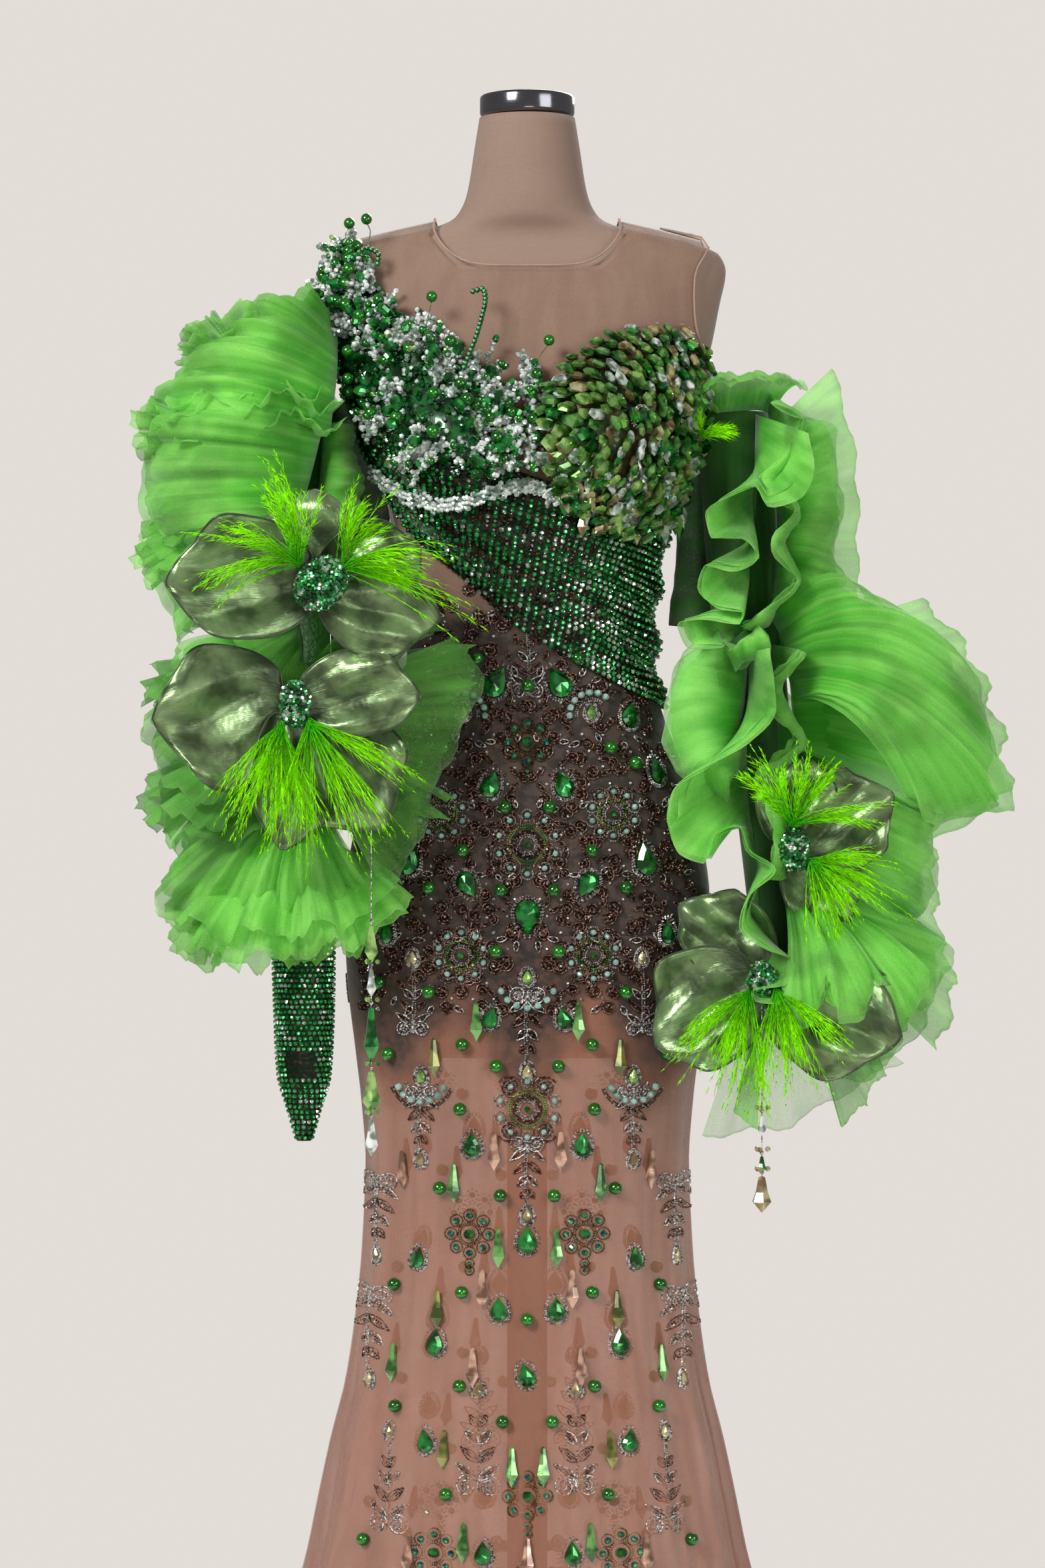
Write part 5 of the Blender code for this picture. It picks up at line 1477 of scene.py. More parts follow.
@dataclass
class Embroidery:
    """Seed-bead scrolls, rimmed stones, pearls and pendants, mirrored about the middle of each panel."""

    layout: tuple = (
        (Motif.LEAVES, 0, 1052, 0, 30), (Motif.ROSETTE, 0, 978, 0, 20), (Motif.FAN, 58, 1004, 0.5, 20),
        (Motif.DROPLET, 30, 1030, 0.5, 11), (Motif.DROPLET, 92, 1000, -0.4, 9),
        (Motif.MEDALLION, 0, 884, 0, 24), (Motif.DROPLET, 34, 936, 0.3, 9),
        (Motif.MEDALLION, 78, 912, 0, 18), (Motif.DROPLET, 118, 948, 0.2, 9),
        (Motif.DROPLET, 0, 822, math.pi, 11.5), (Motif.DROPLET, 56, 850, 2.6, 9),
        (Motif.DROPLET, 108, 866, 0.2, 11), (Motif.FAN, 0, 760, math.pi, 26),
        (Motif.MEDALLION, 60, 782, 0, 19), (Motif.DROPLET, 128, 800, 0.1, 8), (Motif.SPRIG, 104, 740, 0, 30),
        (Motif.SPRIG, 0, 716, math.pi, 34), (Motif.DROPLET, 34, 722, 0.3, 7),
        (Motif.MEDALLION, 0, 640, 0, 23), (Motif.FAN, 96, 668, math.pi, 22),
        (Motif.SPRIG, 96, 628, math.pi, 30), (Motif.SPRIG, 0, 580, math.pi, 32),
        (Motif.ROSETTE, 52, 524, 0, 20), (Motif.DROPLET, 50, 604, 0, 8), (Motif.DROPLET, 0, 516, 0, 9),
        (Motif.SPRIG, 134, 540, math.pi, 34), (Motif.DROPLET, 98, 498, 0.2, 7),
        (Motif.DROPLET, 26, 452, 0, 8), (Motif.DROPLET, 84, 420, 0.1, 9),
        (Motif.SPRIG, 140, 430, math.pi, 38), (Motif.DROPLET, 0, 392, 0.3, 8), (Motif.SPRIG, 44, 330, 0, 40),
        (Motif.ROSETTE, 0, 286, 0, 20), (Motif.DROPLET, 92, 330, -0.2, 8), (Motif.SPRIG, 124, 290, 0, 38),
        (Motif.ROSETTE, 84, 234, 0, 19), (Motif.DROPLET, 40, 232, 0, 8), (Motif.DROPLET, 0, 212, 0, 9),
        (Motif.SPRIG, 30, 130, 0, 42), (Motif.DROPLET, 110, 150, 0, 8), (Motif.ROSETTE, 150, 90, 0, 20),
        (Motif.DROPLET, 66, 70, 0, 8),
    )
    pearls: tuple = (
        (0, 1030), (44, 1056), (74, 972), (20, 918), (96, 958), (58, 878), (88, 844), (24, 842), (132, 906),
        (28, 786), (88, 748), (132, 756), (58, 700), (28, 680), (124, 690), (60, 640), (78, 566), (24, 560),
        (118, 474), (58, 470), (0, 446), (60, 384), (116, 362), (22, 352), (72, 286), (146, 240), (20, 180),
        (112, 200), (60, 150), (160, 150),
    )
    pendants: tuple = (
        (46, 740), (84, 706), (30, 620), (66, 590), (112, 600), (26, 530), (80, 472), (40, 492), (120, 420),
        (48, 420), (14, 330), (74, 344), (104, 250), (56, 262), (0, 250), (124, 130), (34, 92), (84, 110),
    )
    seed: float = 1.2
    pendant: tuple = (27.0, 18.5, 23.0)

    def __post_init__(self) -> None:
        """Starts with no tray."""
        self.tray = Tray("none")
        self.back = False

    def seat(self, at: Array) -> tuple[Array, Array]:
        """The place and frame of one spot on the cloth."""
        degrees = FIGURE.angle_at(at[:1], at[1:], self.back)
        return FIGURE.seats(degrees, at[1:], FIGURE.cloth(degrees, at[1:]) + 0.3)

    def sew(self, points: Array, cut: Cut, finish: Finish, size: float, turn: Array | float = 0.0,
            lift: float = 0.0) -> None:
        """Sews stones at flat places (x, z) on the dress."""
        points = np.asarray(points, float).reshape(-1, 2)
        degrees = FIGURE.angle_at(points[:, 0], points[:, 1], self.back)
        across = -1 if self.back else 1
        places, frames = FIGURE.seats(degrees, points[:, 1], FIGURE.cloth(degrees, points[:, 1]) + 0.2 + lift)
        self.tray.lay(cut, finish, places, spun(frames, across * np.asarray(turn)), size)

    def line(self, points: Array, finish: Finish = BRONZE, pitch: float = 2.1, rows: int = 2) -> None:
        """Sews close rows of small beads along a line, every fifth one a pale bead that stands in for a
        painted glint.
        """
        path = resampled(np.asarray(points, float), pitch * (2.1 if self.back else 1))
        if len(path) < 3:
            return
        ahead = unit(np.gradient(path, axis=0))
        for row in range(rows):
            aside = (row - (rows - 1) / 2) * 2.0
            spots = path + aside * np.stack([-ahead[:, 1], ahead[:, 0]], axis=-1)
            turns = np.arange(len(path)) * 1.9 + row
            # Painted glints: every fifth bronze bead is a pale one.
            bright = ((np.arange(len(path)) + 2 * row) % 5 == 2) & (finish is BRONZE)
            self.sew(spots[~bright], Cut.GRAIN, finish, self.seed, turns[~bright], 0.2)
            self.sew(spots[bright], Cut.GRAIN, ROSE_GLINT, self.seed, turns[bright], 0.3)

    def cord(self, points: Array, finish: Finish = ROSE, radius: float = 0.75) -> None:
        """Couches a fine cord along a line."""
        path = resampled(np.asarray(points, float), 6.4 if self.back else 3.5)
        degrees = FIGURE.angle_at(path[:, 0], path[:, 1], self.back)
        places = FIGURE.skin(degrees, path[:, 1], FIGURE.cloth(degrees, path[:, 1]) + radius)
        self.tray.body(*stack_arrays(tube_grid(places, radius, 3)), finish)

    @staticmethod
    def moved(path: Array, at: Array, turn: float) -> Array:
        """A flat path turned and moved."""
        c, s = math.cos(turn), math.sin(turn)
        return np.asarray(path) @ np.array([[c, s], [-s, c]]) + at

    def leaf(self, at: Array, turn: float, length: float, width: float, finish: Finish = BRONZE) -> None:
        """Outlines a leaf from its stalk."""
        t = np.linspace(0, 1, 12)
        for side in (-1, 1):
            edge = np.stack([side * width * np.sin(math.pi * t**0.8), length * t], axis=-1)
            self.cord(self.moved(edge, at, turn), ROSE if finish is BRONZE else finish)
        vein = np.stack([0 * t[2:-1], length * t[2:-1]], axis=-1)
        self.line(self.moved(vein, at, turn), BRONZE, rows=2 if width > 3.2 else 1)

    def curl(self, at: Array, turn: float, size: float, flip: int = 1, finish: Finish = BRONZE) -> None:
        """Draws a scroll that winds in from its tail."""
        t = np.linspace(0, 1, 40)
        radius = size * (1 - 0.86 * t)
        wound = 4.4 * math.pi * t
        path = np.stack([flip * (radius * np.cos(wound) - size), radius * np.sin(wound)], axis=-1)
        self.cord(self.moved(path, at, turn), ROSE if finish is BRONZE else finish)
        self.line(self.moved(0.8 * path, at, turn), finish, rows=1)

    def place(self, kind: Motif, x: float, z: float, turn: float, size: float) -> None:
        """Works one motif.

        Args:
            kind: The motif.
            x: Its middle across the panel.
            z: Its middle's height.
            turn: Its turn on the panel, in radians.
            size: Its half size in millimetres.
        """
        at = np.array([x, z])
        ring = np.linspace(0, 2 * math.pi, 25)
        circle = np.stack([np.cos(ring), np.sin(ring)], axis=-1)
        if kind is Motif.DROPLET:
            places, frames = self.seat(at)
            lay_halo(self.tray, places, spun(frames, -turn if self.back else turn), size * 0.96, EMERALD)
        elif kind in (Motif.MEDALLION, Motif.ROSETTE):
            gold = kind is Motif.ROSETTE
            petals, metal, glass, stone = (8, GOLD, TEAL, 5.0) if gold else (10, SILVER, MINT, 4.2)
            self.sew([at], Cut.OVAL, EMERALD, 8.0 if gold else 5.0, lift=1.5)
            self.line(circle * (9.6 if gold else 8.2) + at, metal)
            around = np.arange(petals) * 2 * math.pi / petals + turn
            heading = np.stack([-np.sin(around), np.cos(around)], axis=-1)
            reach = size * (0.86 if gold else 1.12)
            self.sew(at + reach * heading, Cut.OVAL, glass, stone, around, 1.0)
            for spot in at + reach * heading:
                self.line(circle * (5.6 if gold else 5.3) + spot, metal, rows=1)
            if gold:
                for step in (1.35, 1.68):
                    self.sew(at + (0, -size * step), Cut.OVAL, TEAL, 3.2, 0.0, 1.0)
                    self.line(circle * 4.2 + at + (0, -size * step), GOLD, rows=1)
            else:
                self.line(circle * 12 + at, BRONZE)
                self.line(circle * (size * 0.72) + at, LEAF_GLASS, rows=2)
                for side in (-1, 1):
                    self.curl(at + (side * size * 1.1, size * 1.1), side * 0.5, size * 0.5, side)
                    self.curl(at + (side * size * 1.1, -size * 1.1), math.pi - side * 0.5, size * 0.5, -side)
        elif kind is Motif.FAN:
            around = np.linspace(-1.15, 1.15, 7) + turn
            spots = at + size * np.stack([-np.sin(around), np.cos(around)], axis=-1)
            self.sew(spots, Cut.OVAL, MINT, 5.0, around, 1.0)
            bow = np.linspace(-1.2, 1.2, 20)
            bow = size * np.stack([np.sin(bow), np.cos(bow)], axis=-1)
            self.line(self.moved(0.68 * bow, at, turn), SILVER)
            self.line(self.moved(1.3 * bow, at, turn))
            lay_halo(self.tray, *self.seat(at), 4.6, LEAF_GLASS)
        elif kind in (Motif.SPRIG, Motif.LEAVES):
            stem = np.stack([1.5 * np.sin(np.linspace(0, 3, 14)), np.linspace(-size, size, 14)], axis=-1)
            self.line(self.moved(stem, at, turn), SILVER)
            foot, *forks, tip = (self.moved(np.array([[0.0, size * share]]), at, turn)[0]
                                 for share in (-1, -0.75, -0.35, 0.05, 0.45, 1.25))
            for side in (-1, 1):
                self.curl(foot, turn - side * 0.4, size * 0.28, side, SILVER)
            for number, spot in enumerate(forks):
                for side in (-1, 1):
                    self.leaf(spot, turn - side * (0.95 - 0.1 * number), size * (0.62 - 0.1 * number),
                              size * 0.1, BRONZE if number % 2 else SILVER)
            lay_halo(self.tray, *self.seat(tip), 4.4, CHAMPAGNE)

    @staticmethod
    def both_sides(x: float, z: float) -> list[tuple[float, float]]:
        """A spot and its mirror image, or one spot on the middle line."""
        return [(side * x, z) for side in (-1, 1)[x == 0:]]

    def filler(self, step: float, low: float, high: float) -> None:
        """Fills the worked ground with scrolls and small leaves."""
        rng = np.random.default_rng(21)
        for row, z in enumerate(np.arange(low, high, step * 0.8)):
            wide = float(eased(FIGURE.rows, 1, z)) - 6
            for x in np.arange(step / 2 + (row % 2) * step / 3, wide, step):
                turn, size = rng.uniform(0, 6.28), step * rng.uniform(0.30, 0.42)
                flip = int(rng.integers(0, 2)) * 2 - 1
                taken = any(math.hypot(x - m[1], z - m[2]) < m[4] * 0.75 for m in self.layout
                            if m[0] is not Motif.DROPLET)
                for side in (-1, 1):
                    at = np.array([side * x, z])
                    if not taken:
                        self.curl(at, side * turn, size, side * flip)
                        self.sew([at + (side * 2.0, size)], Cut.CHATON, SILVER, 1.6)
                    self.leaf(at, side * (turn + 2.4), size * 1.5, size * 0.36, BRONZE if row % 4 else SILVER)

    def build(self) -> None:
        """Works the front and then, more sparsely, the back."""
        for panel, back in (("front", False), ("back", True)):
            self.back = back
            for zone, low, high in (("body", 740, 1300), ("skirt", 0, 740)):
                self.tray = Tray(f"embroidery_{panel}_{zone}")
                for kind, x, z, turn, size in self.layout:
                    if low <= z < high and not (back and (z > 960 or kind is Motif.SPRIG and abs(x) > 120)):
                        for side in (-1, 1)[x == 0:]:
                            self.place(kind, side * x, z, side * turn, size)
                for x, z in self.pearls:
                    if low <= z < high:
                        self.sew(self.both_sides(x, z), Cut.PEARL, PEARL, 6.5, lift=5.0)
                for number, (x, z) in enumerate(self.pendants):
                    if low <= z < high:
                        finish = (FERN, OLIVE, PEACH, FERN, PEACH)[number % 5]
                        self.sew(self.both_sides(x, z), Cut.LONG, finish, self.pendant, lift=3.4)
                if zone == "body":
                    self.filler(*((44, 750, 1020) if back else (19, 735, 1120)))
                self.tray.sewn()


# Sleeves


@dataclass
class Tube:
    """A sleeve's tube: z, middle x, middle y, half width, half depth."""

    rows: tuple

    def point(self, z: Array, degrees: Array, out: float) -> Array:
        """Points beside the tube."""
        x, y, width, depth = (eased(self.rows, k, z) for k in range(1, 5))
        angle = np.radians(degrees)
        x, y = x + (width + out) * np.cos(angle), y + (depth + out) * np.sin(angle)
        return np.stack(np.broadcast_arrays(x, y, z), axis=-1)


RIGHT_TUBE = Tube((
    (608, -208, -62, 7, 6), (640, -208, -62, 16, 13), (668, -208, -62, 24, 19), (720, -208, -62, 27, 26),
    (800, -209, -61, 29, 31), (900, -215, -56, 34, 37), (1000, -221, -46, 38, 42), (1100, -225, -34, 40, 45),
    (1200, -228, -22, 41, 48), (1300, -228, -12, 40, 50), (1368, -227.4, -8, 40, 52),
))
LEFT_TUBE = Tube((
    (720, 240, -38, 24, 26), (800, 236, -36, 27, 29), (900, 228, -30, 30, 32), (1000, 216, -22, 32, 35),
    (1100, 207, -14, 34, 38), (1200, 200, -6, 36, 41), (1290, 194.6, 0, 37, 43),
))


@dataclass
class Billow:
    """A length of tulle gathered on a root line and blown out to a free edge that rolls back.

    Root and edge are points in millimetres, and blow is how far the middle is pushed.
    """

    name: str
    root: tuple
    edge: tuple
    blow: tuple
    waves: float
    depth: float
    roll: float = 12.0
    phase: float = 0.0
    layers: int = 2
    finish: Finish = TULLE

    @staticmethod
    def curve(points: tuple, at: Array) -> Array:
        """Points along a smooth line through knots."""
        knots = np.array(points, float)
        run = np.concatenate([[0.0], np.cumsum(np.linalg.norm(np.diff(knots, axis=0), axis=1))])
        rows = np.column_stack([run / run[-1], knots])
        return np.stack([eased(rows, k, at) for k in (1, 2, 3)], axis=-1)

    def grid(self, layer: int) -> Array:
        """Points of one layer, from the root line to the free edge."""
        brim = self.curve(self.edge, np.linspace(0, 1, 90))
        run = np.linalg.norm(np.diff(brim, axis=0), axis=1).sum()
        u = np.linspace(0, 1, int(max(11 * self.waves, run / 7.0)) + 8)
        v = np.linspace(0, 1, 10)[:, None]
        root, edge = self.curve(self.root, u), self.curve(self.edge, u)
        span, blow = edge - root, np.array(self.blow, float)
        out = unit(span)
        face = unit(np.cross(unit(np.gradient(edge, axis=0)), out))
        face = face * np.where(face @ blow < 0, -1.0, 1.0)[:, None]
        turn = 2 * math.pi * self.waves * u + self.phase + 0.9 * layer
        reach = 1 - 0.05 * layer + 0.03 * np.sin(0.8 * turn + 2 * layer) + 0.006 * np.sin(3.1 * turn)
        wave = self.depth * v**0.9 * (1 - 0.35 * v) * np.sin(turn + 1.1 * np.sin(0.5 * turn + layer))
        wave = wave + 0.30 * self.depth * v**0.5 * np.sin(2.7 * turn + 1.4 * np.sin(0.6 * turn) + layer)
        wave = wave + 0.06 * self.depth * np.sqrt(v) * np.sin(7.9 * turn + layer)
        tail = np.clip((v - 0.8) / 0.2, 0, 1)
        ahead = span * reach[:, None]
        swell = (np.sin(math.pi * v**0.85) ** 0.9 * (1 - 0.2 * layer))[..., None]
        grid = root + ahead * v[..., None] + blow * swell + face * wave[..., None]
        return grid - out * (self.roll * 0.7 * tail**2)[..., None] - face * (self.roll * tail**1.6)[..., None]

    def build(self, sleeve: str, node: str) -> None:
        """Builds the layers, which stand for a CAD node."""
        for layer in range(self.layers):
            name = f"tulle_billow_{self.name}_{layer + 1}"
            Cloth(name, self.grid(layer), self.finish, (node,), "gathered", (sleeve,), TULLE_WALL).make()


@dataclass
class RightSleeve:
    """A long stone-mesh sleeve under tiers of gathered tulle."""

    tiers: tuple = (
        (1325, 7, 8, 0.4, ((95, 56, 30, 10), (135, 66, 34, 10), (180, 76, 36, 8), (215, 80, 40, 6),
            (250, 80, 56, 4), (275, 76, 64, 2), (304, 62, 60, 0))),
        (1262, 7, 10, 1.3, ((95, 60, 6, 10), (135, 90, 10, 10), (180, 110, 12, 6), (215, 114, 12, 6),
            (250, 104, 16, 6), (280, 92, 22, 4), (306, 72, 20, 4))),
        (1190, 7, 10, 2.2, ((95, 60, -20, 12), (135, 88, -22, 12), (180, 108, -16, 12), (215, 114, -18, 12),
            (250, 104, -20, 14), (282, 92, -24, 14), (310, 76, -30, 14))),
        (1048, 7, 10, 0.9, ((95, 60, -6, 12), (135, 84, -6, 12), (180, 102, -8, 12), (225, 106, -10, 14),
            (270, 90, -14, 16), (305, 110, -2, 16), (334, 170, 8, 20))),
        (968, 7, 10, 2.9, ((95, 60, -20, 14), (135, 90, -22, 14), (180, 118, -22, 14), (225, 118, -26, 16),
            (270, 88, -34, 16), (305, 112, -22, 20), (334, 142, -8, 24))),
        (884, 7, 11, 1.9, ((95, 66, -46, 14), (135, 92, -48, 14), (180, 120, -46, 16), (225, 124, -50, 16),
            (270, 108, -60, 16), (305, 108, -44, 18), (328, 106, -24, 16))),
    )
    layers: tuple = ((-8, 0.94, -4), (2, 1.0, 0), (11, 0.9, 4))
    # Tiers that take the tulle with painted shade.
    shaded: tuple = (3, 4)
    billows: tuple = (
        (1, Billow("shoulder", ((-178, -40, 1372), (-176, -84, 1330), (-182, -104, 1262)),
            ((-196, -24, 1394), (-248, -26, 1390), (-292, -32, 1359), (-330, -36, 1338), (-358, -38, 1302),
            (-371, -40, 1262)), (-14, -66, 16), 5, 13, 16, 0.3, 3)),
        (2, Billow("arm_front", ((-184, -96, 1290), (-206, -112, 1200), (-238, -108, 1126)),
            ((-330, -50, 1330), (-366, -46, 1266), (-372, -42, 1208), (-352, -44, 1154), (-348, -46, 1118),
            (-322, -52, 1076)), (-10, -70, 0), 5, 13, 16, 1.9, 3)),
        (3, Billow("arm_side", ((-236, 16, 1366), (-264, 10, 1230), (-262, 4, 1096)), ((-204, 30, 1396),
            (-290, 24, 1368), (-352, 20, 1310), (-374, 18, 1240), (-368, 16, 1170), (-336, 14, 1070)),
            (-16, -12, 6), 6, 12, 8, 0.8, 2)),
        (4, Billow("elbow", ((-246, -112, 1072), (-246, -120, 1010), (-236, -120, 950)), ((-330, -70, 1064),
            (-352, -62, 1022), (-368, -56, 978), (-356, -56, 948), (-338, -58, 908), (-306, -62, 886)),
            (-4, -46, 8), 3.5, 12, 12, 0.4, 3)),
        (6, Billow("cuff", ((-250, -104, 934), (-216, -116, 916), (-186, -116, 926)), ((-336, -50, 886),
            (-354, -50, 826), (-322, -56, 788), (-264, -66, 778), (-205, -72, 772), (-160, -78, 792),
            (-128, -84, 828)), (-6, -44, -4), 6, 12, 12, 1.4, 3)),
        (4, Billow("between", ((-214, -110, 1100), (-206, -116, 1066), (-214, -120, 1030)),
            ((-268, -150, 1100), (-262, -158, 1050), (-236, -160, 1020), (-196, -160, 1030),
            (-160, -156, 1060), (-150, -150, 1096)), (0, -14, 0), 4, 7, 4, 0.9, 2)),
        # Painted shadow: a dark sheet that fills the gap between the sleeve and the bodice, where there is
        # only shade.
        (2, Billow("shade", ((-192, -8, 1300), (-188, -10, 1180), (-184, -14, 1040)), ((-158, -12, 1300),
            (-137, -10, 1250), (-131, -8, 1205), (-128, -6, 1140), (-127, -6, 1050)), (0, -8, 0), 3, 4, 2,
            0.4, 1, PAINTED_SHADOW_TULLE)),
        (2, Billow("inner_upper", ((-190, -62, 1276), (-194, -92, 1190), (-204, -104, 1110)),
            ((-160, -34, 1272), (-152, -44, 1236), (-149, -52, 1200), (-150, -60, 1160), (-162, -74, 1112)),
            (4, -26, 0), 4, 7, 6, 0.9, 2)),
        (5, Billow("inner", ((-176, -130, 926), (-164, -136, 980), (-150, -138, 1040)), ((-126, -112, 832),
            (-98, -118, 876), (-80, -124, 928), (-56, -134, 982), (-36, -140, 1040), (-62, -144, 1076)),
            (0, -26, 0), 5, 11, 8, 0.9, 2, VEIL)),
    )
    stone: float = 2.3

    def tier(self, number: int, layer: int) -> Array:
        """Points of one layer of a tier, from its root on the tube to its edge."""
        height, waves, depth, phase, rows = self.tiers[number]
        lean, grow, lift = self.layers[layer]
        azimuth = np.linspace(rows[0][0], rows[-1][0], 14 * waves + 1)[None, :]
        v = np.linspace(0, 1, 8)[:, None]
        reach, elevation, droop = (eased(rows, k, azimuth) for k in range(1, 4))
        turn = 2 * math.pi * waves * (azimuth - rows[0][0]) / (rows[-1][0] - rows[0][0])
        level = np.stack([np.cos(np.radians(azimuth)), np.sin(np.radians(azimuth)), 0 * azimuth], axis=-1)
        fan = np.radians(elevation + lean * np.clip(v * 1.5, 0, 1))
        heading = np.cos(fan)[..., None] * level + np.sin(fan)[..., None] * UP
        upright = np.cos(fan)[..., None] * UP - np.sin(fan)[..., None] * level
        root = RIGHT_TUBE.point(height + lift + 0 * azimuth, azimuth, 1.5)
        wave = depth * v * np.sin(turn + phase + 0.9 * layer)
        sway = 3.3 * turn + 1.7 * np.sin(turn * 0.5 + layer) + 2 * layer
        wave = wave + 0.34 * depth * v**0.6 * np.sin(sway)
        wave = wave + 1.2 * np.sqrt(v) * np.sin(9.1 * turn + layer)
        ragged = 1 + 0.05 * np.sin(1.6 * turn + 2 * layer) + 0.02 * np.sin(5.3 * turn + layer)
        curl = 1 - 0.07 * v**4
        grid = root + heading * (reach * grow * ragged * v * curl)[..., None] + upright * wave[..., None]
        grid[..., 2] -= droop * v**2
        return grid

    def build(self) -> None:
        """Builds the tube, its stones and all tulle."""
        z = np.linspace(608, 1368, 60)[:, None]
        grid = RIGHT_TUBE.point(z, np.arange(0, 360, 12.0)[None, :], -0.9)
        Cloth("stone_sleeve", grid, LINED_CHAIN, ("chain_sleeve_right",), "hung", ("linen_torso",), TUBE_WALL,
              closed=True).make()
        tray = Tray("sleeve_stones")
        rng = np.random.default_rng(8)
        for row, height in enumerate(np.arange(611, 810, 4.9)):
            _, _, width, depth = (float(eased(RIGHT_TUBE.rows, k, height)) for k in range(1, 5))
            count = int(math.pi * (width + depth) / 4.9)
            degrees = np.arange(count) * 360 / count + (row % 2) * 180 / count
            if 668 < height < 694:
                degrees = degrees[np.abs((degrees - 262 + 180) % 360 - 180) > 32]
            places = RIGHT_TUBE.point(np.full(len(degrees), height), degrees, 0.1)
            angle = np.radians(degrees)
            outward = np.stack([np.cos(angle), np.sin(angle), 0 * degrees], axis=-1)
            outward = unit(outward + rng.normal(0, 0.13, (len(degrees), 3)))
            pick = rng.random(len(degrees))
            for finish, low, high in ((DEEP_GREEN, 0, 0.45), (BRIGHT_GREEN, 0.45, 0.78), (GLINT, 0.78, 1)):
                here = (pick >= low) & (pick < high)
                tray.lay(Cut.CHATON, finish, places[here], frames_to(outward[here], UP), self.stone)
        tray.sewn()
        for number in range(len(self.tiers)):
            for layer in range(len(self.layers)):
                Cloth(f"tulle_tier_{number + 1}_{layer + 1}", self.tier(number, layer)[:, ::-1],
                      PAINTED_SHADE_TULLE if number in self.shaded else TULLE,
                      (f"tulle_tier_right_{number + 1}",), "gathered", ("stone_sleeve",), TULLE_WALL).make()
        for number, billow in self.billows:
            billow.build("stone_sleeve", f"tulle_tier_right_{number}")


@dataclass
class Page:
    """One length of tulle gathered along the left sleeve."""

    name: str
    azimuth: float
    top: float
    foot: float
    waves: float
    depth: float
    phase: float
    rows: tuple


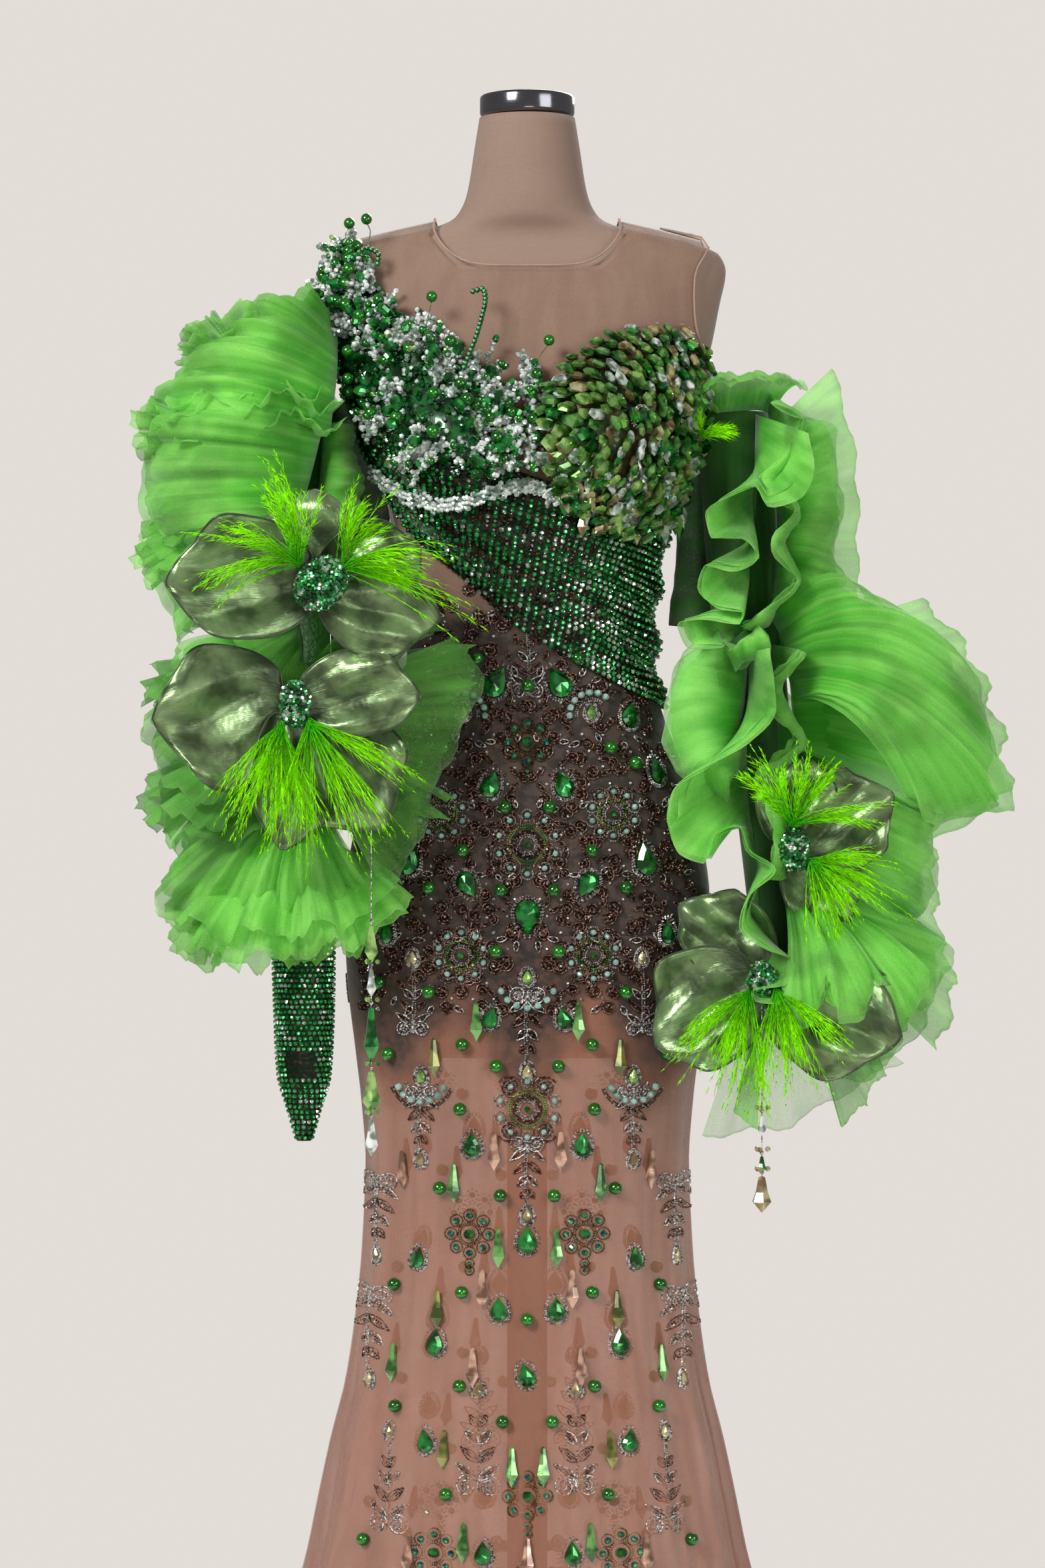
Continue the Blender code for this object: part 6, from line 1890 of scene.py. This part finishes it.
@dataclass
class LeftSleeve:
    """A short tube from the underarm with deep frills of tulle along it."""

    pages: tuple = (
        Page("side_upper", -12, 1280, 1084, 4, 6, 0.0, ((0, 80, 44, 0), (0.3, 82, 18, 0), (0.7, 76, 0, 2),
            (1, 76, -6, 6))),
        Page("side_fan", -8, 1074, 985, 4, 7, 1.0, ((0, 140, 18, 0), (0.3, 182, 5, 0), (0.6, 208, -6, 2),
            (0.85, 222, -15, 4), (1, 205, -20, 4))),
        Page("side_lower", -10, 968, 800, 4, 7, 0.7, ((0, 164, -33, 4), (0.35, 166, -36, 6),
            (0.7, 176, -34, 6), (1, 166, -40, 10))),
        Page("foot_side", -30, 786, 728, 3, 10, 0.2, ((0, 110, -40, 4), (0.5, 124, -56, 4),
            (1, 118, -74, 2))),
        Page("foot_front", -128, 790, 730, 2, 11, 0.6, ((0, 70, -56, 0), (0.5, 96, -62, 0),
            (1, 124, -72, 0))),
        Page("back", 66, 1270, 800, 5, 15, 0.3, ((0, 70, 30, 0), (0.3, 108, 6, 6), (0.7, 120, -16, 20),
            (1, 100, -40, 20))),
    )
    billows: tuple = (
        ("front_upper", Billow("ribbon_upper", ((214, -44, 1286), (212, -46, 1196), (204, -50, 1086)),
            ((258, -126, 1262), (262, -134, 1232), (250, -140, 1204), (222, -142, 1194), (208, -142, 1212),
            (186, -142, 1204), (162, -142, 1186), (168, -142, 1163), (196, -142, 1164), (211, -142, 1146),
            (190, -142, 1136), (164, -142, 1140), (155, -142, 1118), (172, -142, 1100), (197, -142, 1096),
            (194, -142, 1086), (160, -142, 1092), (139, -142, 1086), (148, -142, 1066), (178, -142, 1064)),
            (0, -4, 0), 3, 2.0, 0, 0.4, 5)),
        ("side_upper", Billow("top_flare", ((164, -16, 1286), (186, -48, 1288), (214, -44, 1290),
            (232, -14, 1288)), ((150, -64, 1306), (176, -104, 1318), (226, -104, 1322), (262, -50, 1316)),
            (0, -8, 10), 4, 5, 6, 0.4, 2)),
        ("middle_upper", Billow("ribbon_inner", ((232, -40, 1290), (236, -44, 1200), (226, -50, 1090)),
            ((226, -96, 1296), (262, -104, 1278), (240, -112, 1240), (216, -116, 1222), (252, -116, 1190),
            (226, -118, 1160), (256, -116, 1128), (226, -118, 1100), (196, -120, 1082)), (8, -8, 0), 3, 4, 4,
            1.4, 3)),
        ("side_upper", Billow("side_top", ((226, -26, 1290), (232, -40, 1226), (236, -48, 1120)),
            ((216, -30, 1312), (254, -32, 1292), (292, -34, 1274), (296, -34, 1238), (301, -34, 1200),
            (293, -34, 1156), (301, -34, 1128), (272, -36, 1096)), (6, -26, 4), 5, 9, 5, 0.2, 3)),
        ("side_fan", Billow("side_sweep", ((226, -70, 1096), (240, -76, 1066), (250, -78, 1020)),
            ((318, -44, 1102), (380, -46, 1080), (412, -48, 1050), (434, -50, 1008), (447, -50, 962),
            (455, -52, 914), (410, -64, 906), (366, -74, 904)), (10, -40, 34), 4, 10, 4, 0.9, 3)),
        ("side_fan", Billow("side_lining", ((236, -40, 1080), (250, -46, 1000), (250, -50, 930)),
            ((330, -10, 1096), (420, -6, 1030), (440, -4, 940), (372, -16, 880), (318, -30, 868)),
            (10, 24, 10), 4, 5, 4, 0.4, 2)),
        ("side_lower", Billow("side_pleats", ((252, -70, 972), (256, -76, 930), (254, -78, 860)),
            ((360, -60, 912), (394, -62, 900), (391, -62, 862), (385, -62, 816), (352, -64, 798)),
            (6, -34, 4), 2.6, 12, 14, 0.6, 3)),
        ("side_lower", Billow("side_low", ((250, -70, 860), (248, -80, 810), (236, -84, 770)),
            ((360, -56, 826), (404, -56, 782), (394, -58, 740), (372, -60, 702), (334, -64, 664),
            (284, -70, 650)), (4, -28, 0), 4.5, 11, 12, 1.8, 3)),
        ("front_lower", Billow("bulge", ((214, -62, 1090), (206, -72, 1030), (200, -74, 950)),
            ((228, -124, 1062), (200, -126, 1066), (163, -124, 1058), (134, -122, 1043), (125, -120, 1010),
            (127, -120, 980), (140, -122, 950), (184, -126, 944)), (-6, -32, 4), 2.5, 7, 16, 0.2, 3)),
        ("front_lower", Billow("ribbon_lower", ((206, -66, 1060), (204, -74, 960), (214, -78, 860),
            (220, -82, 740)), ((222, -150, 1064), (226, -156, 1010), (200, -158, 979), (163, -158, 956),
            (131, -158, 934), (126, -158, 908), (137, -158, 876), (162, -158, 868), (169, -158, 892),
            (192, -158, 902), (200, -158, 880), (226, -158, 862), (203, -158, 838), (194, -158, 810),
            (216, -158, 789), (242, -158, 776), (236, -158, 760), (205, -158, 752), (207, -158, 743),
            (238, -158, 740), (236, -158, 728), (220, -158, 728)), (-4, -4, 0), 3, 2.4, 0, 0.7, 5)),
        ("middle_lower", Billow("inner_lower", ((226, -60, 1070), (232, -72, 980), (236, -76, 860)),
            ((256, -116, 1060), (228, -124, 1020), (254, -124, 980), (214, -128, 940), (236, -128, 890),
            (226, -128, 850)), (10, -8, 0), 3, 5, 6, 0.3, 3)),
        ("foot_side", Billow("ruffle", ((236, -96, 838), (256, -100, 830), (278, -84, 830)),
            ((234, -166, 748), (252, -172, 720), (274, -168, 762), (290, -166, 726), (306, -160, 722),
            (322, -156, 762), (338, -150, 722), (354, -144, 724), (368, -136, 770)), (4, -16, 6), 4, 5, 6,
            0.5, 3)),
        ("foot_front", Billow("pale_foot", ((206, -70, 746), (236, -70, 742), (262, -60, 744)),
            ((162, -76, 612), (204, -80, 614), (241, -80, 620), (290, -70, 646), (352, -56, 680)),
            (0, -14, 0), 4, 9, 4, 0.2, 1, VEIL)),
        # Painted shadow: a dark sheet that fills the gap between the sleeve and the bodice, where there is
        # only shade.
        ("middle_upper", Billow("shade_left", ((168, 0, 1284), (176, -6, 1200), (180, -12, 1084)),
            ((154, -4, 1280), (143, -2, 1200), (133, -2, 1090)), (0, -8, 0), 3, 4, 2, 0.4, 1, PAINTED_SHADOW_TULLE)),
    )
    lean: float = 6.0
    grow: float = 0.94
    shift: float = 0.3

    def leaf(self, page: Page) -> Array:
        """Points of a frill, from its root along the tube to its edge."""
        u = np.linspace(0, 1, int(18 * page.waves) + 20)[None, :]
        v = np.linspace(0, 1, 9)[:, None]
        reach, elevation, droop = (eased(page.rows, k, u) for k in range(1, 4))
        azimuth = np.radians(page.azimuth + self.lean * v)
        level = np.stack(np.broadcast_arrays(np.cos(azimuth), np.sin(azimuth), 0.0), axis=-1)
        sideways = np.stack(np.broadcast_arrays(-np.sin(azimuth), np.cos(azimuth), 0.0), axis=-1)
        beside = np.full_like(u, page.azimuth + 0.4 * self.lean)
        root = LEFT_TUBE.point(page.top + (page.foot - page.top) * u, beside, 2.0)
        tilt = np.radians(elevation)[..., None]
        heading = np.cos(tilt) * level + np.sin(tilt) * UP
        turn = 2 * math.pi * page.waves * u + page.phase
        wave = page.depth * v**1.2 * np.sin(turn + self.shift)
        wave = wave + 0.2 * page.depth * v**0.7 * np.sin(3.1 * turn + 1.6 * np.sin(0.7 * turn))
        wave = wave + 1.0 * np.sqrt(v) * np.sin(8.3 * turn)
        ragged = 1 + 0.03 * np.sin(1.2 * turn) + 0.006 * np.sin(4.7 * turn)
        grid = root + heading * (reach * self.grow * ragged * v)[..., None] + wave[..., None] * sideways
        grid[..., 2] -= droop * v**2
        return grid

    def build(self) -> None:
        """Builds the tube and its frills."""
        z = np.linspace(720, 1290, 36)[:, None]
        grid = LEFT_TUBE.point(z, np.arange(0, 360, 12.0)[None, :], -1.1)
        # The tube is coloured as painted shadow, so that it reads as the shade behind the frills.
        Cloth("sleeve_tube_left", grid, PAINTED_SHADOW_TULLE, ("sleeve_band_left",), "hung", ("linen_torso",), TUBE_WALL,
              closed=True).make()
        for page in self.pages:
            node = "tulle_page_left_" + page.name
            Cloth(f"tulle_frill_{page.name}_1", self.leaf(page), TULLE, (node,), "gathered",
                  ("sleeve_tube_left",), TULLE_WALL).make()
        for name, billow in self.billows:
            billow.build("sleeve_tube_left", "tulle_page_left_" + name)
        axes = (
            unit(np.array([0.8, -0.2, 0.75])), unit(np.array([-0.6, 0.0, 0.8])), np.array([0.0, -1.0, 0.0]),
        )
        plume("underarm", np.array([160.0, -72.0, 1262.0]), axes, 34, 44, 21, 77)


# Flowers, feathers and hanging strings


def plume(name: str, centre: Array, axes: Sequence[Array], spread: float, length: float, strands: int,
          seed: int, nodes: Sequence[str] = ()) -> None:
    """Dyed feathers bound at the root: curved quills that fall in locks, with fine barbs.

    Args:
        name: What the plume is called.
        centre: Its root.
        axes: Forward, sideways and away from the cloth.
        spread: Half angle of the fan in degrees.
        length: The longest quill.
        strands: How many quills there are.
        seed: Start of its own random draws.
        nodes: CAD nodes that it stands for.
    """
    forward, sideways, away = axes
    rng = np.random.default_rng(seed)
    locks = max(3, strands // 7)
    fan = math.radians(spread) * np.linspace(-1, 1, locks) + rng.normal(0, 0.07, locks)
    rise, reaches = rng.uniform(0.05, 0.8, locks), rng.uniform(0.72, 1.05, locks)
    sways = rng.normal(0, 1, (locks, 3))
    corners, loops, sizes, uv = [], [], [], []
    offset, barbs = 0, 22
    s = np.linspace(0, 1, 9)[:, None]
    for strand in range(strands):
        lock = strand % locks
        aside = fan[lock] + rng.normal(0, 0.1)
        lifted = away * max(0.0, rise[lock] + rng.normal(0, 0.1))
        heading = unit(forward * math.cos(aside) + sideways * math.sin(aside) + lifted)
        reach = length * reaches[lock] * rng.uniform(0.75, 1.05)
        sway = unit(sways[lock]) * reach * 0.2 + unit(rng.normal(0, 1, 3)) * reach * 0.05
        path = centre + rng.normal(0, 1.6, 3) + heading * reach * s + sway * s**2 - UP * 0.24 * reach * s**2.3
        points, numbers, counts = stack_arrays(tube_grid(path, 0.6 * (1.05 - s[:, 0]), 3))
        corners.append(points)
        loops.append(numbers + offset)
        sizes.append(counts)
        share = np.append(np.repeat(s[:, 0], 3), (0.0, 1.0))
        uv.append(np.stack([0 * numbers, share[numbers]], axis=-1))
        offset += len(points)
        at = rng.uniform(0.1, 0.99, barbs)
        base = on_path(path, s[:, 0], at)
        behind, ahead = (on_path(path, s[:, 0], np.clip(at + step, 0, 1)) for step in (-0.04, 0.04))
        ahead = unit(ahead - behind)
        side = unit(np.cross(ahead, rng.normal(0, 1, (barbs, 3))))
        long = 13 * np.sin(math.pi * np.clip(at, 0.1, 0.95)) + 4
        long = long[:, None] * rng.uniform(0.6, 1.2, (barbs, 1))
        tip = base + unit(ahead * 1.25 + side * 0.5) * long - UP * 0.14 * long
        wide = unit(np.cross(ahead, side)) * 0.6
        corners.append(np.stack([base - wide, base + wide, base + ahead * 0.7, tip], axis=1).reshape(-1, 3))
        faces = np.array([[0, 1, 3], [1, 2, 3], [2, 0, 3], [0, 2, 1]])
        numbers = (faces[None] + np.arange(barbs)[:, None, None] * 4).ravel()
        loops.append(numbers + offset)
        sizes.append(np.full(barbs * 4, 3))
        share = np.repeat(at, 4) + np.tile([0, 0, 0, 0.2], barbs)
        uv.append(np.stack([0 * numbers, share[numbers]], axis=-1))
        offset += barbs * 4
    piece = mesh_of("plume_" + name, np.concatenate(corners), np.concatenate(loops), np.concatenate(sizes),
                    [FEATHER.material()], uv=np.concatenate(uv))
    finished(piece, nodes)


@dataclass
class Flower:
    """Satin petals round a heart of stones, with feathers.

    Petal rows: direction, length, half width, layer, cup, lift, tilt.
    Tuft rows: across, up, direction, spread, length.
    """

    name: str
    head: tuple
    size: tuple
    lean: float
    petals: tuple
    tufts: tuple
    stem: float = 7.0
    stones: tuple = (
        (SHADOW_GREEN, Cut.CHATON, 0, 0.4, 2.8), (BRIGHT_GREEN, Cut.CHATON, 0.4, 0.65, 2.8),
        (GLINT, Cut.CHATON, 0.65, 0.85, 2.8), (EMERALD, Cut.OVAL, 0.85, 1, 3.4),
    )
    strands: int = 56

    def __post_init__(self) -> None:
        """Finds the way out of the sleeve and the stem's foot."""
        tube = RIGHT_TUBE if self.head[0] < 0 else LEFT_TUBE
        self.centre = np.array(self.head, float)
        x, y = (float(eased(tube.rows, k, self.head[2])) for k in (1, 2))
        self.away = unit(np.array([self.head[0] - x, self.head[1] - y, 0.0]))
        self.right = np.cross(UP, self.away)
        core = frame["nodes"]["flower_core_" + self.name].data
        depth = np.array([v.co for v in core.vertices]) / MM @ self.away
        self.foot = self.centre - self.away * (float(self.centre @ self.away) - float(depth.min()))

    def petal(self, row: Sequence[float]) -> Array:
        """Points of a petal from its stalk to its tip."""
        direction, length, half_width, layer, cup, lift, tilt = row
        turn = math.radians(direction)
        forward = math.cos(turn) * self.right + math.sin(turn) * UP
        sideways = math.cos(turn) * UP - math.sin(turn) * self.right
        s, q = np.linspace(0, 1, 25)[:, None], np.linspace(-1, 1, 25)[None, :]
        width = half_width * 1.12 * np.sin(math.pi * (0.09 + 0.64 * s**0.85)) ** 0.6
        height = lift * s**2 + cup * q**2 * s * (1.2 - s) + tilt * q * width * s
        folds = 7.5 * np.sin(4.4 * q + 1.6 * s + 1.7 * direction)
        folds = folds + 3.0 * np.sin(9.4 * q - 2.4 * s + direction)
        height = height + folds * s * (1.2 - 0.55 * s) + 5.0 * np.sin(5.2 * s + layer) * s
        width = width * (1 + 0.05 * np.sin(7.0 * s + 1.9 * direction) * s)
        ridge = np.abs((q + 0.55 * math.sin(direction) - 0.7 * (s - 0.4) + 1.4) % 0.9 - 0.45) / 0.45
        height = height + 30 * (0.5 - ridge) * s * (1.15 - s)
        edge = np.clip(np.abs(q) - 0.7, 0, 1) / 0.3
        height = height + (9 if layer % 2 else -8) * edge**2 * s**0.5 - 150 * np.clip(s - 0.82, 0, 1) ** 1.7
        corner = 0.15 * np.clip(1 - np.abs(q - 0.5 * math.sin(2.3 * direction)) / 0.8, 0, 1)
        reach = length * s * (0.93 - 0.16 * q**2 * s**2 + corner * s**3)
        base = self.centre - self.away * (9.0 + 7.0 * layer)
        return (base + forward * (self.stem + 0.5 + reach)[..., None]
                + sideways * (width * q)[..., None] + self.away * height[..., None])

    def heart(self) -> None:
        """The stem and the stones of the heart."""
        wide, deep, tall = self.size
        rng = np.random.default_rng(len(self.name) + int(self.head[2]))
        tray = Tray("heart_" + self.name)
        length = float((self.centre - self.foot) @ self.away)
        steps = np.linspace(0, length, 12)
        tray.body(*stack_arrays(tube_grid(self.foot + steps[:, None] * self.away, self.stem, 16)), SATIN)
        lean = math.radians(self.lean)
        across = math.cos(lean) * self.right + math.sin(lean) * UP
        along = math.cos(lean) * UP - math.sin(lean) * self.right
        count = int(3.2 * wide * tall / 5)
        k = np.arange(count) + 0.5
        polar, turn = np.arccos(1 - 1.25 * k / count), GOLDEN_TURN * k
        ball = np.stack([np.cos(turn) * np.sin(polar), np.sin(turn) * np.sin(polar), np.cos(polar)], axis=-1)
        places = self.centre + (ball * (wide, tall, deep)) @ np.stack([across, along, self.away])
        outward = unit((ball / (wide, tall, deep)) @ np.stack([across, along, self.away]))
        turns = np.linspace(0, 2 * math.pi, 17)[:-1]
        core = np.stack([self.centre + self.away * (deep * c * 0.9)
                         + s * 0.9 * (np.cos(a) * wide * across + np.sin(a) * tall * along)
                         for c, s in ((-0.5, 0.5), (0.0, 0.95), (0.5, 0.82), (0.9, 0.35)) for a in turns])
        tray.body(*stack_arrays(core.reshape(4, 16, 3)), CHAIN)
        pick = rng.random(count)
        for finish, cut, low, high, size in self.stones:
            here = (pick >= low) & (pick < high)
            lift = rng.uniform(0, 2.5, (int(here.sum()), 1))
            tray.lay(cut, finish, places[here] + outward[here] * lift, frames_to(outward[here], UP + 0.01),
                     size)
        tray.sewn(["flower_core_" + self.name])

    def tuft(self, number: int, row: Sequence[float]) -> None:
        """One tuft of dyed feather beside the heart."""
        across, up, direction, spread, length = row
        turn = math.radians(direction)
        forward = math.cos(turn) * self.right + math.sin(turn) * UP
        sideways = math.cos(turn) * UP - math.sin(turn) * self.right
        centre = self.centre + self.right * across + UP * up + forward * 3 + self.away * (self.size[1] * 0.35)
        plume(f"{self.name}_{number}", centre, (forward, sideways, self.away), spread, length, self.strands,
              number * 31 + int(self.head[2]), (f"feathers_{self.name}_{number}",))

    def build(self) -> None:
        """Builds the heart, the petals with their piping, and the plumes."""
        self.heart()
        for number, row in enumerate(self.petals, 1):
            grid = self.petal(row)
            petal = Cloth(f"satin_petal_{self.name}_{number}", grid, SATIN, (f"petal_{self.name}_{number}",),
                          "stretched", ("heart_" + self.name,), PETAL_WALL).make()
            rim = np.concatenate([grid[:, 0], grid[-1, 1:], grid[::-1, -1][1:], grid[0, ::-1][1:-1]])
            corners, loops, sizes = stack_arrays(tube_grid(rim, 1.1, 5, True), True)
            piping = mesh_of(f"piping_{self.name}_{number}", corners, loops, sizes, [PIPING.material()])
            finished(piping)
            piping.parent = petal
            piping.matrix_parent_inverse.identity()
        for number, row in enumerate(self.tufts, 1):
            self.tuft(number, row)


FLOWERS = (
    Flower("right_upper", (-184, -232, 1119), (19, 13, 24), -42, ((176, 122, 50, 1, 14, 12, 0.10),
        (98, 74, 42, 4, 10, 4, 0.08), (12, 88, 42, 3, 12, 6, 0.08), (-24, 100, 38, 0, 9, 16, 0.06)),
        ((-19, 15, 128, 58, 118), (15, 12, 36, 56, 108))),
    Flower("right_lower", (-208, -222, 1012), (11, 10, 18), 0, ((190, 112, 58, 2, 16, 14, 0.06),
        (10, 100, 36, 0, 14, 18, 0.08), (-52, 122, 50, 3, 10, 2, 0.06), (-88, 118, 36, 1, 10, 8, 0.06)),
        ((-11, -15, -104, 30, 104), (12, -14, -68, 48, 118))),
    Flower("left_upper", (244, -140, 880), (11, 10, 17), 0, ((30, 92, 42, 1, 12, 12, 0.05),
        (84, 74, 32, 3, 8, 2, 0.06), (-44, 74, 36, 2, 12, 4, 0.06)), ((-3, 20, 76, 62, 94),
        (12, -10, -28, 50, 82))),
    Flower("left_lower", (214, -146, 762), (10, 9, 14), 0, ((206, 104, 50, 1, 14, 10, 0.08),
        (132, 92, 36, 3, 10, 4, 0.08), (-32, 122, 48, 2, 12, 6, 0.08)), ((-10, -9, -118, 42, 98),
        (13, -8, -62, 38, 104))),
)


@dataclass
class HangingString:
    """A thread of cut crystals under a flower: depth of each bead's top, its height and radius."""

    name: str
    beads: tuple
    finish: Finish

    def build(self) -> None:
        """Threads the crystals."""
        node = "crystal_drop_" + self.name
        low, high = (np.array(corner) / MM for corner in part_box(node))
        top = np.array([(low[0] + high[0]) / 2, (low[1] + high[1]) / 2, high[2]])
        tray = Tray("crystal_string_" + self.name)
        path = top - UP * np.linspace(0, high[2] - low[2] - 4, 30)[:, None]
        tray.body(*stack_arrays(tube_grid(path, 0.6, 5)), SILVER)
        facing = frames_to(np.array([[0.1, -1.0, 0.0]]), UP)[0]
        for number, (depth, tall, radius) in enumerate(self.beads):
            finish = (self.finish, CLEAR, EMERALD)[number % 3]
            tray.lay(Cut.LONG, finish, top - UP * depth, facing, (radius * 3.4, tall / 2, radius * 4.2))
            tray.lay(Cut.SEED, SILVER, top - UP * (depth - 3), facing, 2.2)
            if number:
                collar = top - UP * (depth - 12)
                spots = np.array([collar + (math.cos(a) * 6, math.sin(a) * 5, -6.0) for a in (0.4, 2.3, 4.4)])
                leaves = spun(np.broadcast_to(facing, (3, 3, 3)), np.array([2.6, 3.4, 3.1]))
                tray.lay(Cut.LEAF, self.finish, spots, leaves, (5.0, 9.0, 5.0))
        tray.sewn([node])


# Studio


@dataclass
class Studio:
    """A pale floor, soft light and the camera."""

    camera_at: tuple = (-0.0044, -4.08, 0.94)
    lens: float = 99.0
    sheer_bounces: int = 20
    softboxes: tuple = (
        ((-2.2, -2.8, 2.9), (0, 0, 1.1), 1.3, 140), ((2.6, -2.6, 1.9), (0, 0, 1.0), 1.8, 42),
        ((0.8, 2.6, 2.8), (0, 0, 1.2), 1.6, 60), ((0.3, -3.4, 0.5), (0, 0, 0.6), 1.2, 14),
    )

    def build(self) -> None:
        """Sets the floor, the lights and the camera."""
        bpy.ops.object.select_all(action="DESELECT")
        bpy.ops.mesh.primitive_circle_add(vertices=128, radius=1.05, fill_type="NGON",
                                          location=(0, 0, -0.0005))
        floor = bpy.context.view_layer.objects.active
        floor.name = "studio_floor"
        bench = Bench("pale_floor")
        grain = bench.noise(bench.place(), 3, 3)
        bench.surface(Base_Color=bench.mix(grain, tint(246, 243, 240), tint(250, 248, 245)), Roughness=0.95,
                      Specular_IOR_Level=0.1, Normal=bench.bump(grain, 0.02))
        floor.data.materials.append(bench.material)
        floor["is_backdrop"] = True
        world = bpy.data.worlds.new("studio")
        bpy.context.scene.world = world
        world.use_nodes = True
        tree = world.node_tree
        seen, path = tree.nodes["Background"], tree.nodes.new("ShaderNodeLightPath")
        seen.inputs["Color"].default_value = tint(232, 226, 221)
        strength = tree.nodes.new("ShaderNodeMapRange")
        strength.inputs["To Min"].default_value, strength.inputs["To Max"].default_value = 0.34, 0.95
        tree.links.new(path.outputs["Is Camera Ray"], strength.inputs["Value"])
        tree.links.new(strength.outputs[0], seen.inputs["Strength"])
        for place, aim, size, power in self.softboxes:
            light = bpy.data.lights.new("softbox", "AREA")
            light.size, light.energy = size, power
            lamp = bpy.data.objects.new("softbox", light)
            lamp.location = place
            lamp.rotation_euler = (Vector(aim) - Vector(place)).to_track_quat("-Z", "Y").to_euler()
            bpy.context.scene.collection.objects.link(lamp)
        lens = bpy.data.cameras.new("view")
        lens.lens, lens.clip_end = self.lens, 50
        camera = bpy.data.objects.new("view", lens)
        camera.location, camera.rotation_euler = self.camera_at, (math.pi / 2, 0, 0)
        bpy.context.scene.collection.objects.link(camera)
        bpy.context.scene.camera = camera
        bpy.context.scene.cycles.transparent_max_bounces = self.sheer_bounces
        bpy.context.scene.view_settings.view_transform = "Standard"


def main() -> None:
    """Builds every part of the dress in order."""
    logging.basicConfig(level=logging.INFO, format="%(message)s")
    sash = Sash()
    strings = (
        HangingString("right", ((92, 36, 8), (132, 26, 6), (166, 52, 9), (224, 40, 11), (268, 34, 8)),
                      LEAF_GLASS),
        HangingString("left", ((66, 20, 5), (108, 20, 5), (146, 16, 5), (164, 34, 11)), CHAMPAGNE),
    )
    beadwork = (BeadSpray(sash), CrystalCup(sash), Embroidery())
    for part in (Studio(), DressForm(), Bodice(), Skirt(), sash, *beadwork, RightSleeve(), LeftSleeve(),
                 *FLOWERS, *strings):
        LOG.info("building %s", type(part).__name__)
        part.build()
    meshes = [piece.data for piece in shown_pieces() if piece.type == "MESH"]
    LOG.info("%d triangles", sum(len(p.vertices) - 2 for mesh in meshes for p in mesh.polygons))


if __name__ == "__main__":
    main()
